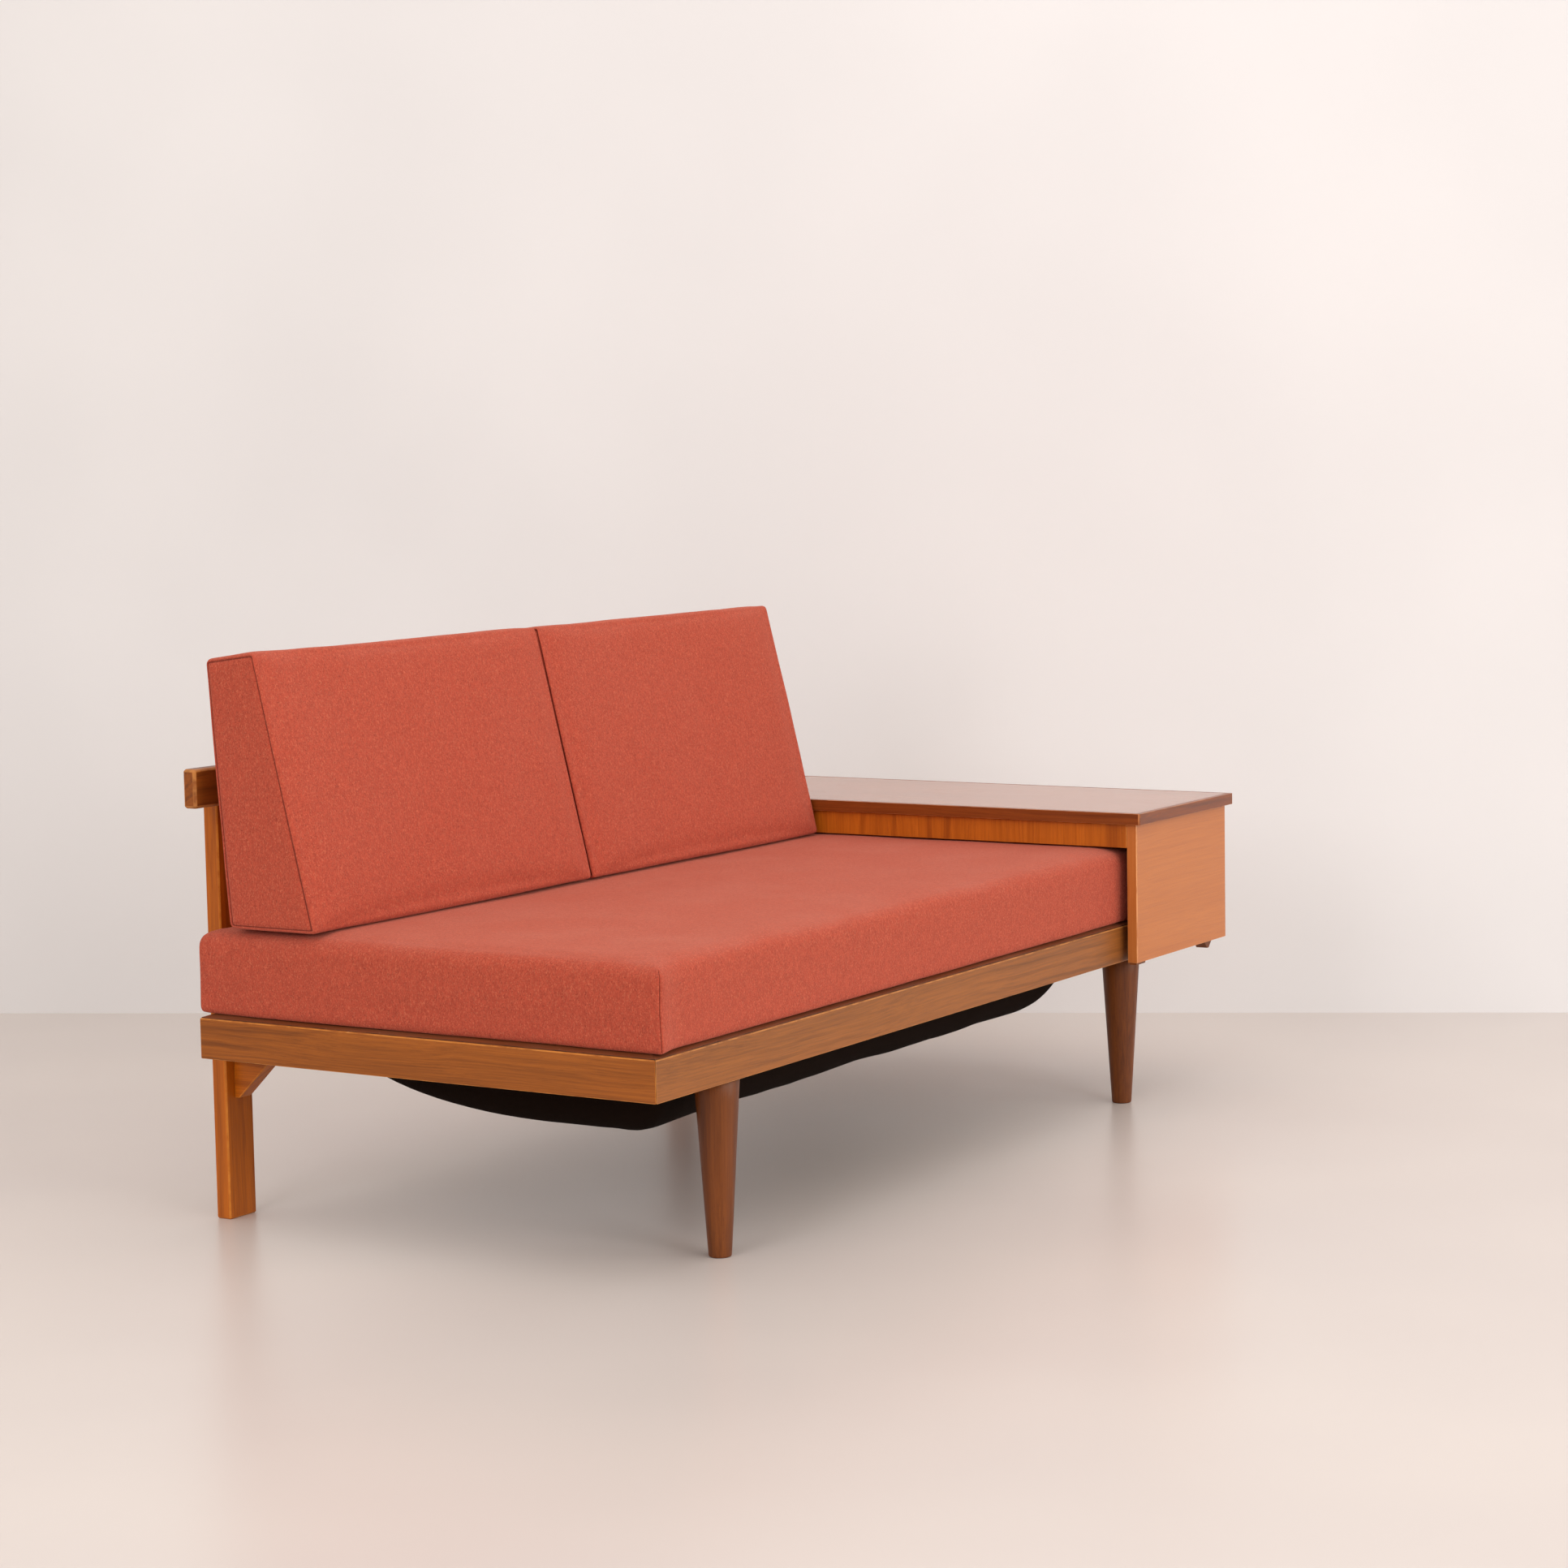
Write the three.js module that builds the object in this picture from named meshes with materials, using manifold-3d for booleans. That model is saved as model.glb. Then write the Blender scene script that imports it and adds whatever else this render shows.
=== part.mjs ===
// Daybed with an upholstered mattress, two wedge back cushions and a sliding end table.
// Units are millimetres. X runs along the front from the head end to the table, Y from front to
// back and Z up. Inside the assembly, X = 0 and Y = 0 are the outer faces of the bed frame.

import * as THREE from 'three';
import { mergeVertices } from 'three/addons/utils/BufferGeometryUtils.js';
import Module from 'manifold-3d';

const wasm = await Module();
wasm.setup();

// ---------------------------------------------------------------------------------------------
// Driving dimensions

const GAP = 0.3;                       // clearance between faces that touch
const FRAME = { length: 1593, depth: 750, bottom: 240, faceTop: 295.5, top: 301, thick: 22, bevel: 15 };
const LEG = { inset: 201, fromFront: 40, topRadius: 30.5, footRadius: 15.5, footRound: 2, sides: 32 };
const LEG_STUD = { radius: 4, holeRadius: 4.8, inLeg: 36, inBlock: 14, point: 1, sides: 12 };
const LEG_BLOCK = { length: 80, depth: 56, thick: 16, edge: 1.5 };
const LEDGE = { width: 22, top: 279.7, bottom: 258, edge: 1 };
const SLAT = { count: 12, width: 60, bottom: 280, top: 295, edge: 2, endMargin: 30 };
const CORNER = { leg: 40, bottom: 241 };
const POST = { left: 68, right: 1200, width: 56, thick: 25, front: 766, top: 632, edge: 2 };
const BRACKET = { inset: 17, width: 26, reach: 74, drop: 70, tip: 8, nose: 6 };
const SPACER = { bottom: 244, top: 292, edge: 1 };
const POST_BOLT = {
  radius: 3.8, holeRadius: 4.6, headRadius: 9, headHeight: 3, headEdge: 1, intoRail: 14, sides: 16,
};
const POST_BOLT_LEVELS = [268, 610];   // one bolt at the bed frame, one at the back rail
const BACK_RAIL = { length: 1300, bottom: 583, top: 637, thick: 22, edge: 3 };
const MATTRESS = { left: 6, right: 1583, front: 3, back: 753, bottom: 301.3, top: 418 };
const MATTRESS_SOFT = { corner: 14, edge: 16, steps: 3 };
const CUSHION = {
  left: 3, width: 648, between: 2, endRound: 6, endSteps: 2, cornerRound: 10, cornerSteps: 3,
};
const WEDGE = { frontBottom: [543, 421], backBottom: [697, 421], backTop: [722, 787], frontTop: [638, 798] };
const BAG = { left: 134, right: 1316, front: 92, back: 608, hem: 240.5, depth: 78, cloth: 3.5 };
const BAG_ENDS = { left: 46, right: 100, front: 60, back: 300 };
const BAG_ROUNDNESS = { sides: 2.4, back: 1.9 };
const BAG_STATIONS = [0, 0.02, 0.08, 0.2, 0.4, 0.7, 1];   // grid lines, as shares of each rounded end
const BATTEN = { width: 22, thick: 7, edge: 0.8 };
const TABLE = { left: 1313, right: 1645, front: -28, back: 778, bottom: 240, top: 459, panel: 16, edge: 1 };
const TABLE_TOP = { left: 1306, right: 1655, front: -38, back: 785, thick: 18, edge: 2.5 };
const APRON = { bottom: 421.5 };
const TABLE_BLOCK = { length: 34, depth: 20, bottom: 224, top: 266, taper: 14, foot: 6 };
const CLEAT = { depth: 20, height: 18, edge: 1 };
const RUNNER = { inner: 1000, width: 22, bottom: 252, top: 276, fromSide: 130, edge: 1 };
const RUNNER_STOP = { length: 16, proud: 8 };
const RUNNER_SLOT = { clearance: 1 };
const BRIDGE = { left: 1318, thick: 18, bottom: 241, edge: 1 };

// Places worked out from the driving dimensions

const POST_BACK = POST.front + POST.thick;
const TABLE_LEVEL = TABLE.top + TABLE_TOP.thick;
const CENTRE = {
  x: TABLE_TOP.right / 2,
  y: (TABLE_TOP.front + POST_BACK + POST_BOLT.headHeight) / 2,
};
const RAIL_INNER = { left: FRAME.thick, right: FRAME.length - FRAME.thick, back: FRAME.depth - FRAME.thick };
const LEG_PLACES = { left: LEG.inset, right: FRAME.length - LEG.inset };
const POST_PLACES = { left: POST.left, right: POST.right };
const RUNNER_PLACES = {
  front: RUNNER.fromSide,
  back: FRAME.depth - RUNNER.fromSide - RUNNER.width,
};

// ---------------------------------------------------------------------------------------------
// Finishes

const finish = (color, roughness, metalness = 0) =>
  new THREE.MeshStandardMaterial({ color, roughness, metalness });

const FINISH = {
  frameTeak: finish(0x9c6834, 0.45),
  tableTeak: finish(0xb86f3c, 0.38),
  legTeak: finish(0x8a4c28, 0.42),
  postTeak: finish(0xa86a26, 0.45),
  innerBeech: finish(0xcaa878, 0.7),
  steel: finish(0x8d8f90, 0.35, 1),
  wool: finish(0xb44c3e, 0.95),
  bagCloth: finish(0x1c1614, 0.9),
};

// ---------------------------------------------------------------------------------------------
// Shape helpers

const assembly = new THREE.Group();
assembly.position.set(-CENTRE.x, -CENTRE.y, 0);

/** Adds one named piece to the assembly at a place. */
function place(name, geometry, material, x = 0, y = 0, z = 0) {
  const mesh = new THREE.Mesh(geometry, material);
  mesh.name = name;
  mesh.position.set(x, y, z);
  assembly.add(mesh);
  return mesh;
}

/** A rectangle about the origin with its corners cut off by edge. */
function cutRectangle(width, depth, edge) {
  const [w, d] = [width / 2, depth / 2];
  return new THREE.Shape([
    [w - edge, -d], [w, -d + edge], [w, d - edge], [w - edge, d],
    [-w + edge, d], [-w, d - edge], [-w, -d + edge], [-w + edge, -d],
  ].map(([x, y]) => new THREE.Vector2(x, y)));
}

/** A box about the origin with every edge chamfered. */
function chamferedBox(width, depth, height, edge) {
  const geometry = new THREE.ExtrudeGeometry(cutRectangle(width, depth, edge), {
    depth: height - 2 * edge,
    bevelEnabled: true, bevelThickness: edge, bevelSize: edge, bevelOffset: -edge, bevelSegments: 1,
  });
  return geometry.translate(0, 0, edge - height / 2);
}

/** Adds a chamfered board that fills the space from the low corner to the high corner. */
function board(name, low, high, edge, material) {
  const size = high.map((value, axis) => value - low[axis]);
  const middle = high.map((value, axis) => (value + low[axis]) / 2);
  return place(name, chamferedBox(...size, edge), material, ...middle);
}

/** Turns a closed three.js geometry into a manifold solid. */
function toSolid(geometry) {
  const bare = geometry.clone();
  bare.deleteAttribute('normal');
  bare.deleteAttribute('uv');
  const merged = mergeVertices(bare);
  return new wasm.Manifold(new wasm.Mesh({
    numProp: 3,
    vertProperties: new Float32Array(merged.attributes.position.array),
    triVerts: new Uint32Array(merged.index.array),
  }));
}

/** Turns a manifold solid back into a three.js geometry. */
function toGeometry(solid) {
  const mesh = solid.getMesh();
  const geometry = new THREE.BufferGeometry();
  geometry.setAttribute('position', new THREE.BufferAttribute(mesh.vertProperties, 3));
  geometry.setIndex(new THREE.BufferAttribute(mesh.triVerts, 1));
  geometry.computeVertexNormals();
  return geometry;
}

/** Cuts tool geometries, given in assembly coordinates, out of a placed mesh. */
function cut(mesh, ...tools) {
  let solid = toSolid(mesh.geometry);
  for (const tool of tools) {
    const local = tool.clone().translate(-mesh.position.x, -mesh.position.y, -mesh.position.z);
    solid = solid.subtract(toSolid(local));
  }
  mesh.geometry = toGeometry(solid);
}

/** A square-edged block between two corners, used as a cutting tool. */
function block(low, high) {
  const size = high.map((value, axis) => value - low[axis]);
  const middle = high.map((value, axis) => (value + low[axis]) / 2);
  return new THREE.BoxGeometry(...size).translate(...middle);
}

/** A closed prism of an outline given as [x, y] points, standing on z = 0. */
function prism(points, height) {
  const outline = new THREE.Shape(points.map(([x, y]) => new THREE.Vector2(x, y)));
  return new THREE.ExtrudeGeometry(outline, { depth: height, bevelEnabled: false });
}

/** A turned solid from [radius, height] points that start and end on the axis. */
function turned(points, sides) {
  return new THREE.LatheGeometry(points.map(([r, z]) => new THREE.Vector2(r, z)), sides)
    .rotateX(Math.PI / 2);
}

/** An outline through corner points, each corner rounded by an arc. */
function roundedOutline(corners, radius, steps) {
  const points = [];
  corners.forEach((corner, index) => {
    const here = new THREE.Vector2(...corner);
    const toward = (other) => new THREE.Vector2(...other).sub(here).normalize();
    const before = toward(corners.at(index - 1));
    const after = toward(corners[(index + 1) % corners.length]);
    const halfAngle = Math.acos(before.dot(after)) / 2;
    const centre = before.clone().add(after).normalize()
      .multiplyScalar(radius / Math.sin(halfAngle)).add(here);
    const tangent = radius / Math.tan(halfAngle);
    const start = here.clone().addScaledVector(before, tangent).sub(centre);
    const sweep = Math.PI - 2 * halfAngle;
    for (let step = 0; step <= steps; step += 1) {
      const angle = start.angle() + (sweep * step) / steps;
      points.push([centre.x + radius * Math.cos(angle), centre.y + radius * Math.sin(angle)]);
    }
  });
  return new THREE.Shape(points.map(([x, y]) => new THREE.Vector2(x, y)));
}

// ---------------------------------------------------------------------------------------------
// Bed frame

/** A rail along X from 0 to length: its top slopes up and inwards, and its ends are mitred. */
function mitredRail(length) {
  const { thick, bevel } = FRAME;
  const [faceHeight, height] = [FRAME.faceTop - FRAME.bottom, FRAME.top - FRAME.bottom];
  const section = [[0, 0], [thick, 0], [thick, height], [bevel, height], [0, faceHeight]];
  const bar = prism(section, length).rotateX(Math.PI / 2).rotateZ(Math.PI / 2);
  const slip = GAP * Math.SQRT1_2;
  const [reach, tall] = [thick * 2, height * 2];
  const startWedge = prism([[slip - reach, -reach], [slip + reach, reach], [slip - reach, reach]], tall);
  const endWedge = prism([
    [length - slip + reach, -reach], [length - slip + reach, reach], [length - slip - reach, reach],
  ], tall);
  const wedges = [startWedge, endWedge].map((wedge) => toSolid(wedge.translate(0, 0, -height / 2)));
  return toGeometry(toSolid(bar).subtract(wedges[0]).subtract(wedges[1]));
}

/** Four rails joined by mitres, with glue blocks inside the corners. */
function bedFrame() {
  const longRail = () => mitredRail(FRAME.length);
  const endRail = () => mitredRail(FRAME.depth);
  place('front_rail', longRail(), FINISH.frameTeak, 0, 0, FRAME.bottom);
  const rear = place('rear_rail', longRail().rotateZ(Math.PI), FINISH.frameTeak,
    FRAME.length, FRAME.depth, FRAME.bottom);
  place('left_end_rail', endRail().rotateZ(-Math.PI / 2), FINISH.frameTeak,
    0, FRAME.depth, FRAME.bottom);
  const right = place('right_end_rail', endRail().rotateZ(Math.PI / 2), FINISH.frameTeak,
    FRAME.length, 0, FRAME.bottom);
  cut(right, ...Object.values(RUNNER_PLACES).map(runnerSlot));
  cut(rear, ...Object.values(POST_PLACES).map((x) => postBoltHole(x, POST_BOLT_LEVELS[0])));
  cornerBlocks();
}

/** Triangular glue blocks in the four inner corners, under the slat ledges. */
function cornerBlocks() {
  const plan = [[0, 0], [CORNER.leg, 0], [0, CORNER.leg]];
  const height = LEDGE.bottom - GAP - CORNER.bottom;
  const inside = FRAME.thick + GAP;
  const corners = {
    front_left: [inside, inside, 0],
    front_right: [FRAME.length - inside, inside, Math.PI / 2],
    rear_right: [FRAME.length - inside, FRAME.depth - inside, Math.PI],
    rear_left: [inside, FRAME.depth - inside, -Math.PI / 2],
  };
  for (const [name, [x, y, turn]] of Object.entries(corners)) {
    place(`corner_block_${name}`, prism(plan, height).rotateZ(turn), FINISH.innerBeech,
      x, y, CORNER.bottom);
  }
}

/** Ledges along both long rails and the slats that lie on them. */
function slatBase() {
  const [left, right] = [RAIL_INNER.left + GAP, RAIL_INNER.right - GAP];
  const ledges = {
    front_ledge: [FRAME.thick + GAP, FRAME.thick + GAP + LEDGE.width],
    rear_ledge: [RAIL_INNER.back - GAP - LEDGE.width, RAIL_INNER.back - GAP],
  };
  for (const [name, [front, back]] of Object.entries(ledges)) {
    board(name, [left, front, LEDGE.bottom], [right, back, LEDGE.top], LEDGE.edge, FINISH.innerBeech);
  }
  const first = left + SLAT.endMargin;
  const pitch = (right - SLAT.endMargin - SLAT.width - first) / (SLAT.count - 1);
  for (let index = 0; index < SLAT.count; index += 1) {
    const start = first + index * pitch;
    const name = `slat_${String(index + 1).padStart(2, '0')}`;
    board(name, [start, FRAME.thick + GAP, SLAT.bottom],
      [start + SLAT.width, RAIL_INNER.back - GAP, SLAT.top], SLAT.edge, FINISH.innerBeech);
  }
}

// ---------------------------------------------------------------------------------------------
// Front legs

/** A turned, tapered leg with a blind hole for its stud. */
function legShape() {
  const top = FRAME.bottom - GAP;
  const holeEnd = top - LEG_STUD.inLeg - GAP;
  return turned([
    [0, 0], [LEG.footRadius - LEG.footRound, 0], [LEG.footRadius, LEG.footRound],
    [LEG.topRadius, top], [LEG_STUD.holeRadius, top], [LEG_STUD.holeRadius, holeEnd], [0, holeEnd],
  ], LEG.sides);
}

/** The threaded stud that stands in the leg and screws up into the leg block. */
function legStud() {
  const { radius, point } = LEG_STUD;
  const length = LEG_STUD.inLeg + LEG_STUD.inBlock;
  return turned([
    [0, 0], [radius - point, 0], [radius, point], [radius, length - point],
    [radius - point, length], [0, length],
  ], LEG_STUD.sides);
}

/** Both front legs, each with the block above it and its stud. */
function frontLegs() {
  const blockBottom = FRAME.bottom + GAP;
  for (const [side, x] of Object.entries(LEG_PLACES)) {
    place(`front_leg_${side}`, legShape(), FINISH.legTeak, x, LEG.fromFront, 0);
    const mount = board(`leg_block_${side}`,
      [x - LEG_BLOCK.length / 2, FRAME.thick + GAP, blockBottom],
      [x + LEG_BLOCK.length / 2, FRAME.thick + GAP + LEG_BLOCK.depth, blockBottom + LEG_BLOCK.thick],
      LEG_BLOCK.edge, FINISH.innerBeech);
    const reach = LEG_BLOCK.thick * 2;
    cut(mount, turned([[0, 0], [LEG_STUD.holeRadius, 0], [LEG_STUD.holeRadius, reach], [0, reach]],
      LEG_STUD.sides).translate(x, LEG.fromFront, blockBottom - reach / 4));
    place(`leg_stud_${side}`, legStud(), FINISH.steel, x, LEG.fromFront,
      FRAME.bottom - GAP - LEG_STUD.inLeg);
  }
}

// ---------------------------------------------------------------------------------------------
// Back: posts, brackets, back rail

/** The hole that a post bolt runs in, from behind the post to inside the rail it holds. */
function postBoltHole(postLeft, level) {
  const start = POST.front - POST.thick;
  const length = POST_BACK + POST.thick - start;
  const tool = turned([[0, 0], [POST_BOLT.holeRadius, 0], [POST_BOLT.holeRadius, length], [0, length]],
    POST_BOLT.sides);
  const inner = level === POST_BOLT_LEVELS[0]
    ? FRAME.depth - POST_BOLT.intoRail - GAP
    : POST.front - POST_BOLT.intoRail - GAP;
  return tool.rotateX(-Math.PI / 2).translate(postLeft + POST.width / 2, inner, level);
}

/** A bolt with a low round head behind the post. */
function postBolt(shank) {
  const { radius, headRadius, headEdge, sides } = POST_BOLT;
  const end = shank + POST_BOLT.headHeight - GAP;
  return turned([
    [0, 0], [radius, 0], [radius, shank], [headRadius, shank],
    [headRadius - headEdge, end - headEdge], [headRadius / 2, end], [0, end],
  ], sides).rotateX(-Math.PI / 2);
}

/** The outline of the bracket: a right triangle with a short flat tip and a blunt nose. */
function bracketShape() {
  const outline = [
    [0, 0], [0, -BRACKET.drop], [-BRACKET.tip, -BRACKET.drop],
    [-BRACKET.reach, -BRACKET.nose], [-BRACKET.reach, 0],
  ].reverse();
  return prism(outline, BRACKET.width).rotateX(Math.PI / 2).rotateZ(Math.PI / 2);
}

/** Two flat posts, each with a spacer, a bracket and two bolts. */
function backPosts() {
  for (const [side, x] of Object.entries(POST_PLACES)) {
    const post = board(`rear_post_${side}`, [x, POST.front, 0], [x + POST.width, POST_BACK, POST.top],
      POST.edge, FINISH.postTeak);
    cut(post, ...POST_BOLT_LEVELS.map((level) => postBoltHole(x, level)));
    const spacer = board(`post_spacer_${side}`, [x, FRAME.depth + GAP, SPACER.bottom],
      [x + POST.width, POST.front - GAP, SPACER.top], SPACER.edge, FINISH.postTeak);
    cut(spacer, postBoltHole(x, POST_BOLT_LEVELS[0]));
    place(`post_bracket_${side}`, bracketShape(), FINISH.postTeak,
      x + BRACKET.inset, POST.front - GAP, FRAME.bottom - GAP);
    const innerEnds = [FRAME.depth - POST_BOLT.intoRail, POST.front - POST_BOLT.intoRail];
    POST_BOLT_LEVELS.forEach((level, index) => {
      const shank = POST_BACK + GAP - innerEnds[index];
      const name = `post_bolt_${side}_${index === 0 ? 'lower' : 'upper'}`;
      place(name, postBolt(shank), FINISH.steel, x + POST.width / 2, innerEnds[index], level);
    });
  }
}

/** The rail along the back that the cushions lean on. */
function backRail() {
  const rail = board('back_rail', [0, POST.front - GAP - BACK_RAIL.thick, BACK_RAIL.bottom],
    [BACK_RAIL.length, POST.front - GAP, BACK_RAIL.top], BACK_RAIL.edge, FINISH.frameTeak);
  cut(rail, ...Object.values(POST_PLACES).map((x) => postBoltHole(x, POST_BOLT_LEVELS[1])));
}

// ---------------------------------------------------------------------------------------------
// Soft parts

/** The mattress: one slab with soft corners and edges. */
function mattress() {
  const { corner, edge, steps } = MATTRESS_SOFT;
  const [width, depth] = [MATTRESS.right - MATTRESS.left, MATTRESS.back - MATTRESS.front];
  const height = MATTRESS.top - MATTRESS.bottom;
  const plan = roundedOutline([
    [0, 0], [width, 0], [width, depth], [0, depth],
  ], corner + edge, steps);
  const slab = new THREE.ExtrudeGeometry(plan, {
    depth: height - 2 * edge, curveSegments: steps,
    bevelEnabled: true, bevelThickness: edge, bevelSize: edge, bevelOffset: -edge, bevelSegments: steps,
  });
  place('mattress', slab, FINISH.wool, MATTRESS.left, MATTRESS.front, MATTRESS.bottom + edge);
}

/** A wedge cushion that is thick at the seat and narrow at the top. */
function wedgeCushion(name, left) {
  const corners = [WEDGE.frontBottom, WEDGE.backBottom, WEDGE.backTop, WEDGE.frontTop];
  const side = roundedOutline(corners, CUSHION.cornerRound, CUSHION.cornerSteps);
  const { endRound, endSteps } = CUSHION;
  const wedge = new THREE.ExtrudeGeometry(side, {
    depth: CUSHION.width - 2 * endRound,
    bevelEnabled: true, bevelThickness: endRound, bevelSize: endRound, bevelOffset: -endRound,
    bevelSegments: endSteps,
  }).translate(0, 0, endRound);
  place(name, wedge.rotateX(Math.PI / 2).rotateZ(Math.PI / 2), FINISH.wool, left, 0, 0);
}

/** The two back cushions, side by side. */
function backCushions() {
  wedgeCushion('back_cushion_left', CUSHION.left);
  wedgeCushion('back_cushion_right', CUSHION.left + CUSHION.width + CUSHION.between);
}

/** How far in from an edge a point is, as a rounded rise from 0 at the edge to 1 inside. */
function rise(distance, reach, power = BAG_ROUNDNESS.sides) {
  const inside = Math.min(Math.max(distance / reach, 0), 1);
  return (1 - (1 - inside) ** power) ** (1 / power);
}

/** Grid stops between two edges, close together where the cloth is steep. */
function stops(low, high, lowReach, highReach) {
  const start = BAG_STATIONS.map((share) => low + lowReach * share);
  const end = BAG_STATIONS.map((share) => high - highReach * share).reverse();
  return [...start, (start.at(-1) + end[0]) / 2, ...end];
}

/** The bedding bag: a cloth tray, open above, hanging from its hem. */
function beddingBag() {
  const xs = stops(BAG.left, BAG.right, BAG_ENDS.left, BAG_ENDS.right);
  const ys = stops(BAG.front, BAG.back, BAG_ENDS.front, BAG_ENDS.back);
  const lower = (x, y) => BAG.hem - BAG.depth
    * rise(x - BAG.left, BAG_ENDS.left) * rise(BAG.right - x, BAG_ENDS.right)
    * rise(y - BAG.front, BAG_ENDS.front)
    * rise(BAG.back - y, BAG_ENDS.back, BAG_ROUNDNESS.back);
  const positions = [];
  for (const lift of [0, BAG.cloth]) {
    for (const y of ys) for (const x of xs) positions.push(x, y, lower(x, y) + lift);
  }
  const [columns, rows] = [xs.length, ys.length];
  const layer = columns * rows;
  const at = (column, row, upper) => row * columns + column + (upper ? layer : 0);
  const index = [];
  const quad = (a, b, c, d) => index.push(a, b, c, a, c, d);
  for (let row = 0; row < rows - 1; row += 1) {
    for (let column = 0; column < columns - 1; column += 1) {
      const square = (upper) => [
        at(column, row, upper), at(column + 1, row, upper),
        at(column + 1, row + 1, upper), at(column, row + 1, upper),
      ];
      quad(...square(true));
      quad(...square(false).reverse());
    }
  }
  for (let column = 0; column < columns - 1; column += 1) {
    quad(at(column, 0), at(column + 1, 0), at(column + 1, 0, true), at(column, 0, true));
    quad(at(column + 1, rows - 1), at(column, rows - 1),
      at(column, rows - 1, true), at(column + 1, rows - 1, true));
  }
  for (let row = 0; row < rows - 1; row += 1) {
    quad(at(0, row + 1), at(0, row), at(0, row, true), at(0, row + 1, true));
    quad(at(columns - 1, row), at(columns - 1, row + 1),
      at(columns - 1, row + 1, true), at(columns - 1, row, true));
  }
  const geometry = new THREE.BufferGeometry();
  geometry.setAttribute('position', new THREE.Float32BufferAttribute(positions, 3));
  geometry.setIndex(index);
  geometry.computeVertexNormals();
  place('bedding_bag', geometry, FINISH.bagCloth);
}

/** Battens that lie on the bag's hem and hold it to the frame. */
function bagBattens() {
  const bottom = BAG.hem + BAG.cloth + GAP;
  const top = bottom + BATTEN.thick;
  const across = {
    bag_batten_left: BAG.left,
    bag_batten_right: BAG.right - BATTEN.width,
  };
  for (const [name, x] of Object.entries(across)) {
    board(name, [x, FRAME.thick + GAP, bottom], [x + BATTEN.width, RAIL_INNER.back - GAP, top],
      BATTEN.edge, FINISH.innerBeech);
  }
  const along = { bag_batten_front: BAG.front, bag_batten_rear: BAG.back - BATTEN.width };
  for (const [name, y] of Object.entries(along)) {
    board(name, [BAG.left + BATTEN.width + GAP, y, bottom],
      [BAG.right - BATTEN.width - GAP, y + BATTEN.width, top], BATTEN.edge, FINISH.innerBeech);
  }
}

// ---------------------------------------------------------------------------------------------
// End table

/** The slot that a runner passes through, long enough to cut the end rail or the bridge. */
function runnerSlot(front) {
  const { clearance } = RUNNER_SLOT;
  return block([BRIDGE.left - BRIDGE.thick, front - clearance, RUNNER.bottom - clearance],
    [FRAME.length + FRAME.thick, front + RUNNER.width + clearance, RUNNER.top + clearance]);
}

/** The board inside the bed frame that guides the inner ends of the runners. */
function runnerBridge() {
  const bridge = board('runner_bridge',
    [BRIDGE.left, FRAME.thick + 2 * GAP + LEDGE.width, BRIDGE.bottom],
    [BRIDGE.left + BRIDGE.thick, RAIL_INNER.back - 2 * GAP - LEDGE.width, LEDGE.top],
    BRIDGE.edge, FINISH.innerBeech);
  cut(bridge, ...Object.values(RUNNER_PLACES).map(runnerSlot));
}

/** A runner with a wider stop at its inner end. */
function runner(name, front) {
  const outer = TABLE.right - TABLE.panel - GAP;
  const mesh = board(name, [RUNNER.inner, front, RUNNER.bottom],
    [outer, front + RUNNER.width, RUNNER.top], RUNNER.edge, FINISH.innerBeech);
  const stop = block([RUNNER.inner, front - RUNNER_STOP.proud, RUNNER.bottom],
    [RUNNER.inner + RUNNER_STOP.length, front + RUNNER.width + RUNNER_STOP.proud, RUNNER.top]);
  const local = stop.translate(-mesh.position.x, -mesh.position.y, -mesh.position.z);
  mesh.geometry = toGeometry(toSolid(mesh.geometry).add(toSolid(local)));
}

/** The table: a top board, two side panels, an outer panel and an apron over the mattress. */
function endTable() {
  const panelTop = TABLE.top - GAP;
  const sides = {
    front: [TABLE.front, TABLE.front + TABLE.panel],
    rear: [TABLE.back - TABLE.panel, TABLE.back],
  };
  for (const [side, [front, back]] of Object.entries(sides)) {
    board(`table_${side}_panel`, [TABLE.left, front, TABLE.bottom], [TABLE.right, back, panelTop],
      TABLE.edge, FINISH.tableTeak);
  }
  const [inFront, inBack] = [sides.front[1] + GAP, sides.rear[0] - GAP];
  board('table_outer_panel', [TABLE.right - TABLE.panel, inFront, TABLE.bottom],
    [TABLE.right, inBack, panelTop], TABLE.edge, FINISH.tableTeak);
  board('table_apron', [TABLE.left, inFront, APRON.bottom],
    [TABLE.left + TABLE.panel, inBack, panelTop], TABLE.edge, FINISH.tableTeak);
  board('table_top', [TABLE_TOP.left, TABLE_TOP.front, TABLE.top],
    [TABLE_TOP.right, TABLE_TOP.back, TABLE_LEVEL], TABLE_TOP.edge, FINISH.tableTeak);
  tableBlocks(inFront, inBack, panelTop);
  for (const [side, front] of Object.entries(RUNNER_PLACES)) runner(`table_runner_${side}`, front);
}

/** A corner block whose lower end tapers to a narrow foot below the panels. */
function tableBlockShape() {
  const { length, depth, taper, foot } = TABLE_BLOCK;
  const height = TABLE_BLOCK.top - TABLE_BLOCK.bottom;
  const outline = [
    [0, height], [0, taper], [(length - foot) / 2, 0], [(length + foot) / 2, 0],
    [length, taper], [length, height],
  ];
  return prism(outline, depth).rotateX(Math.PI / 2).translate(0, depth, 0);
}

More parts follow.
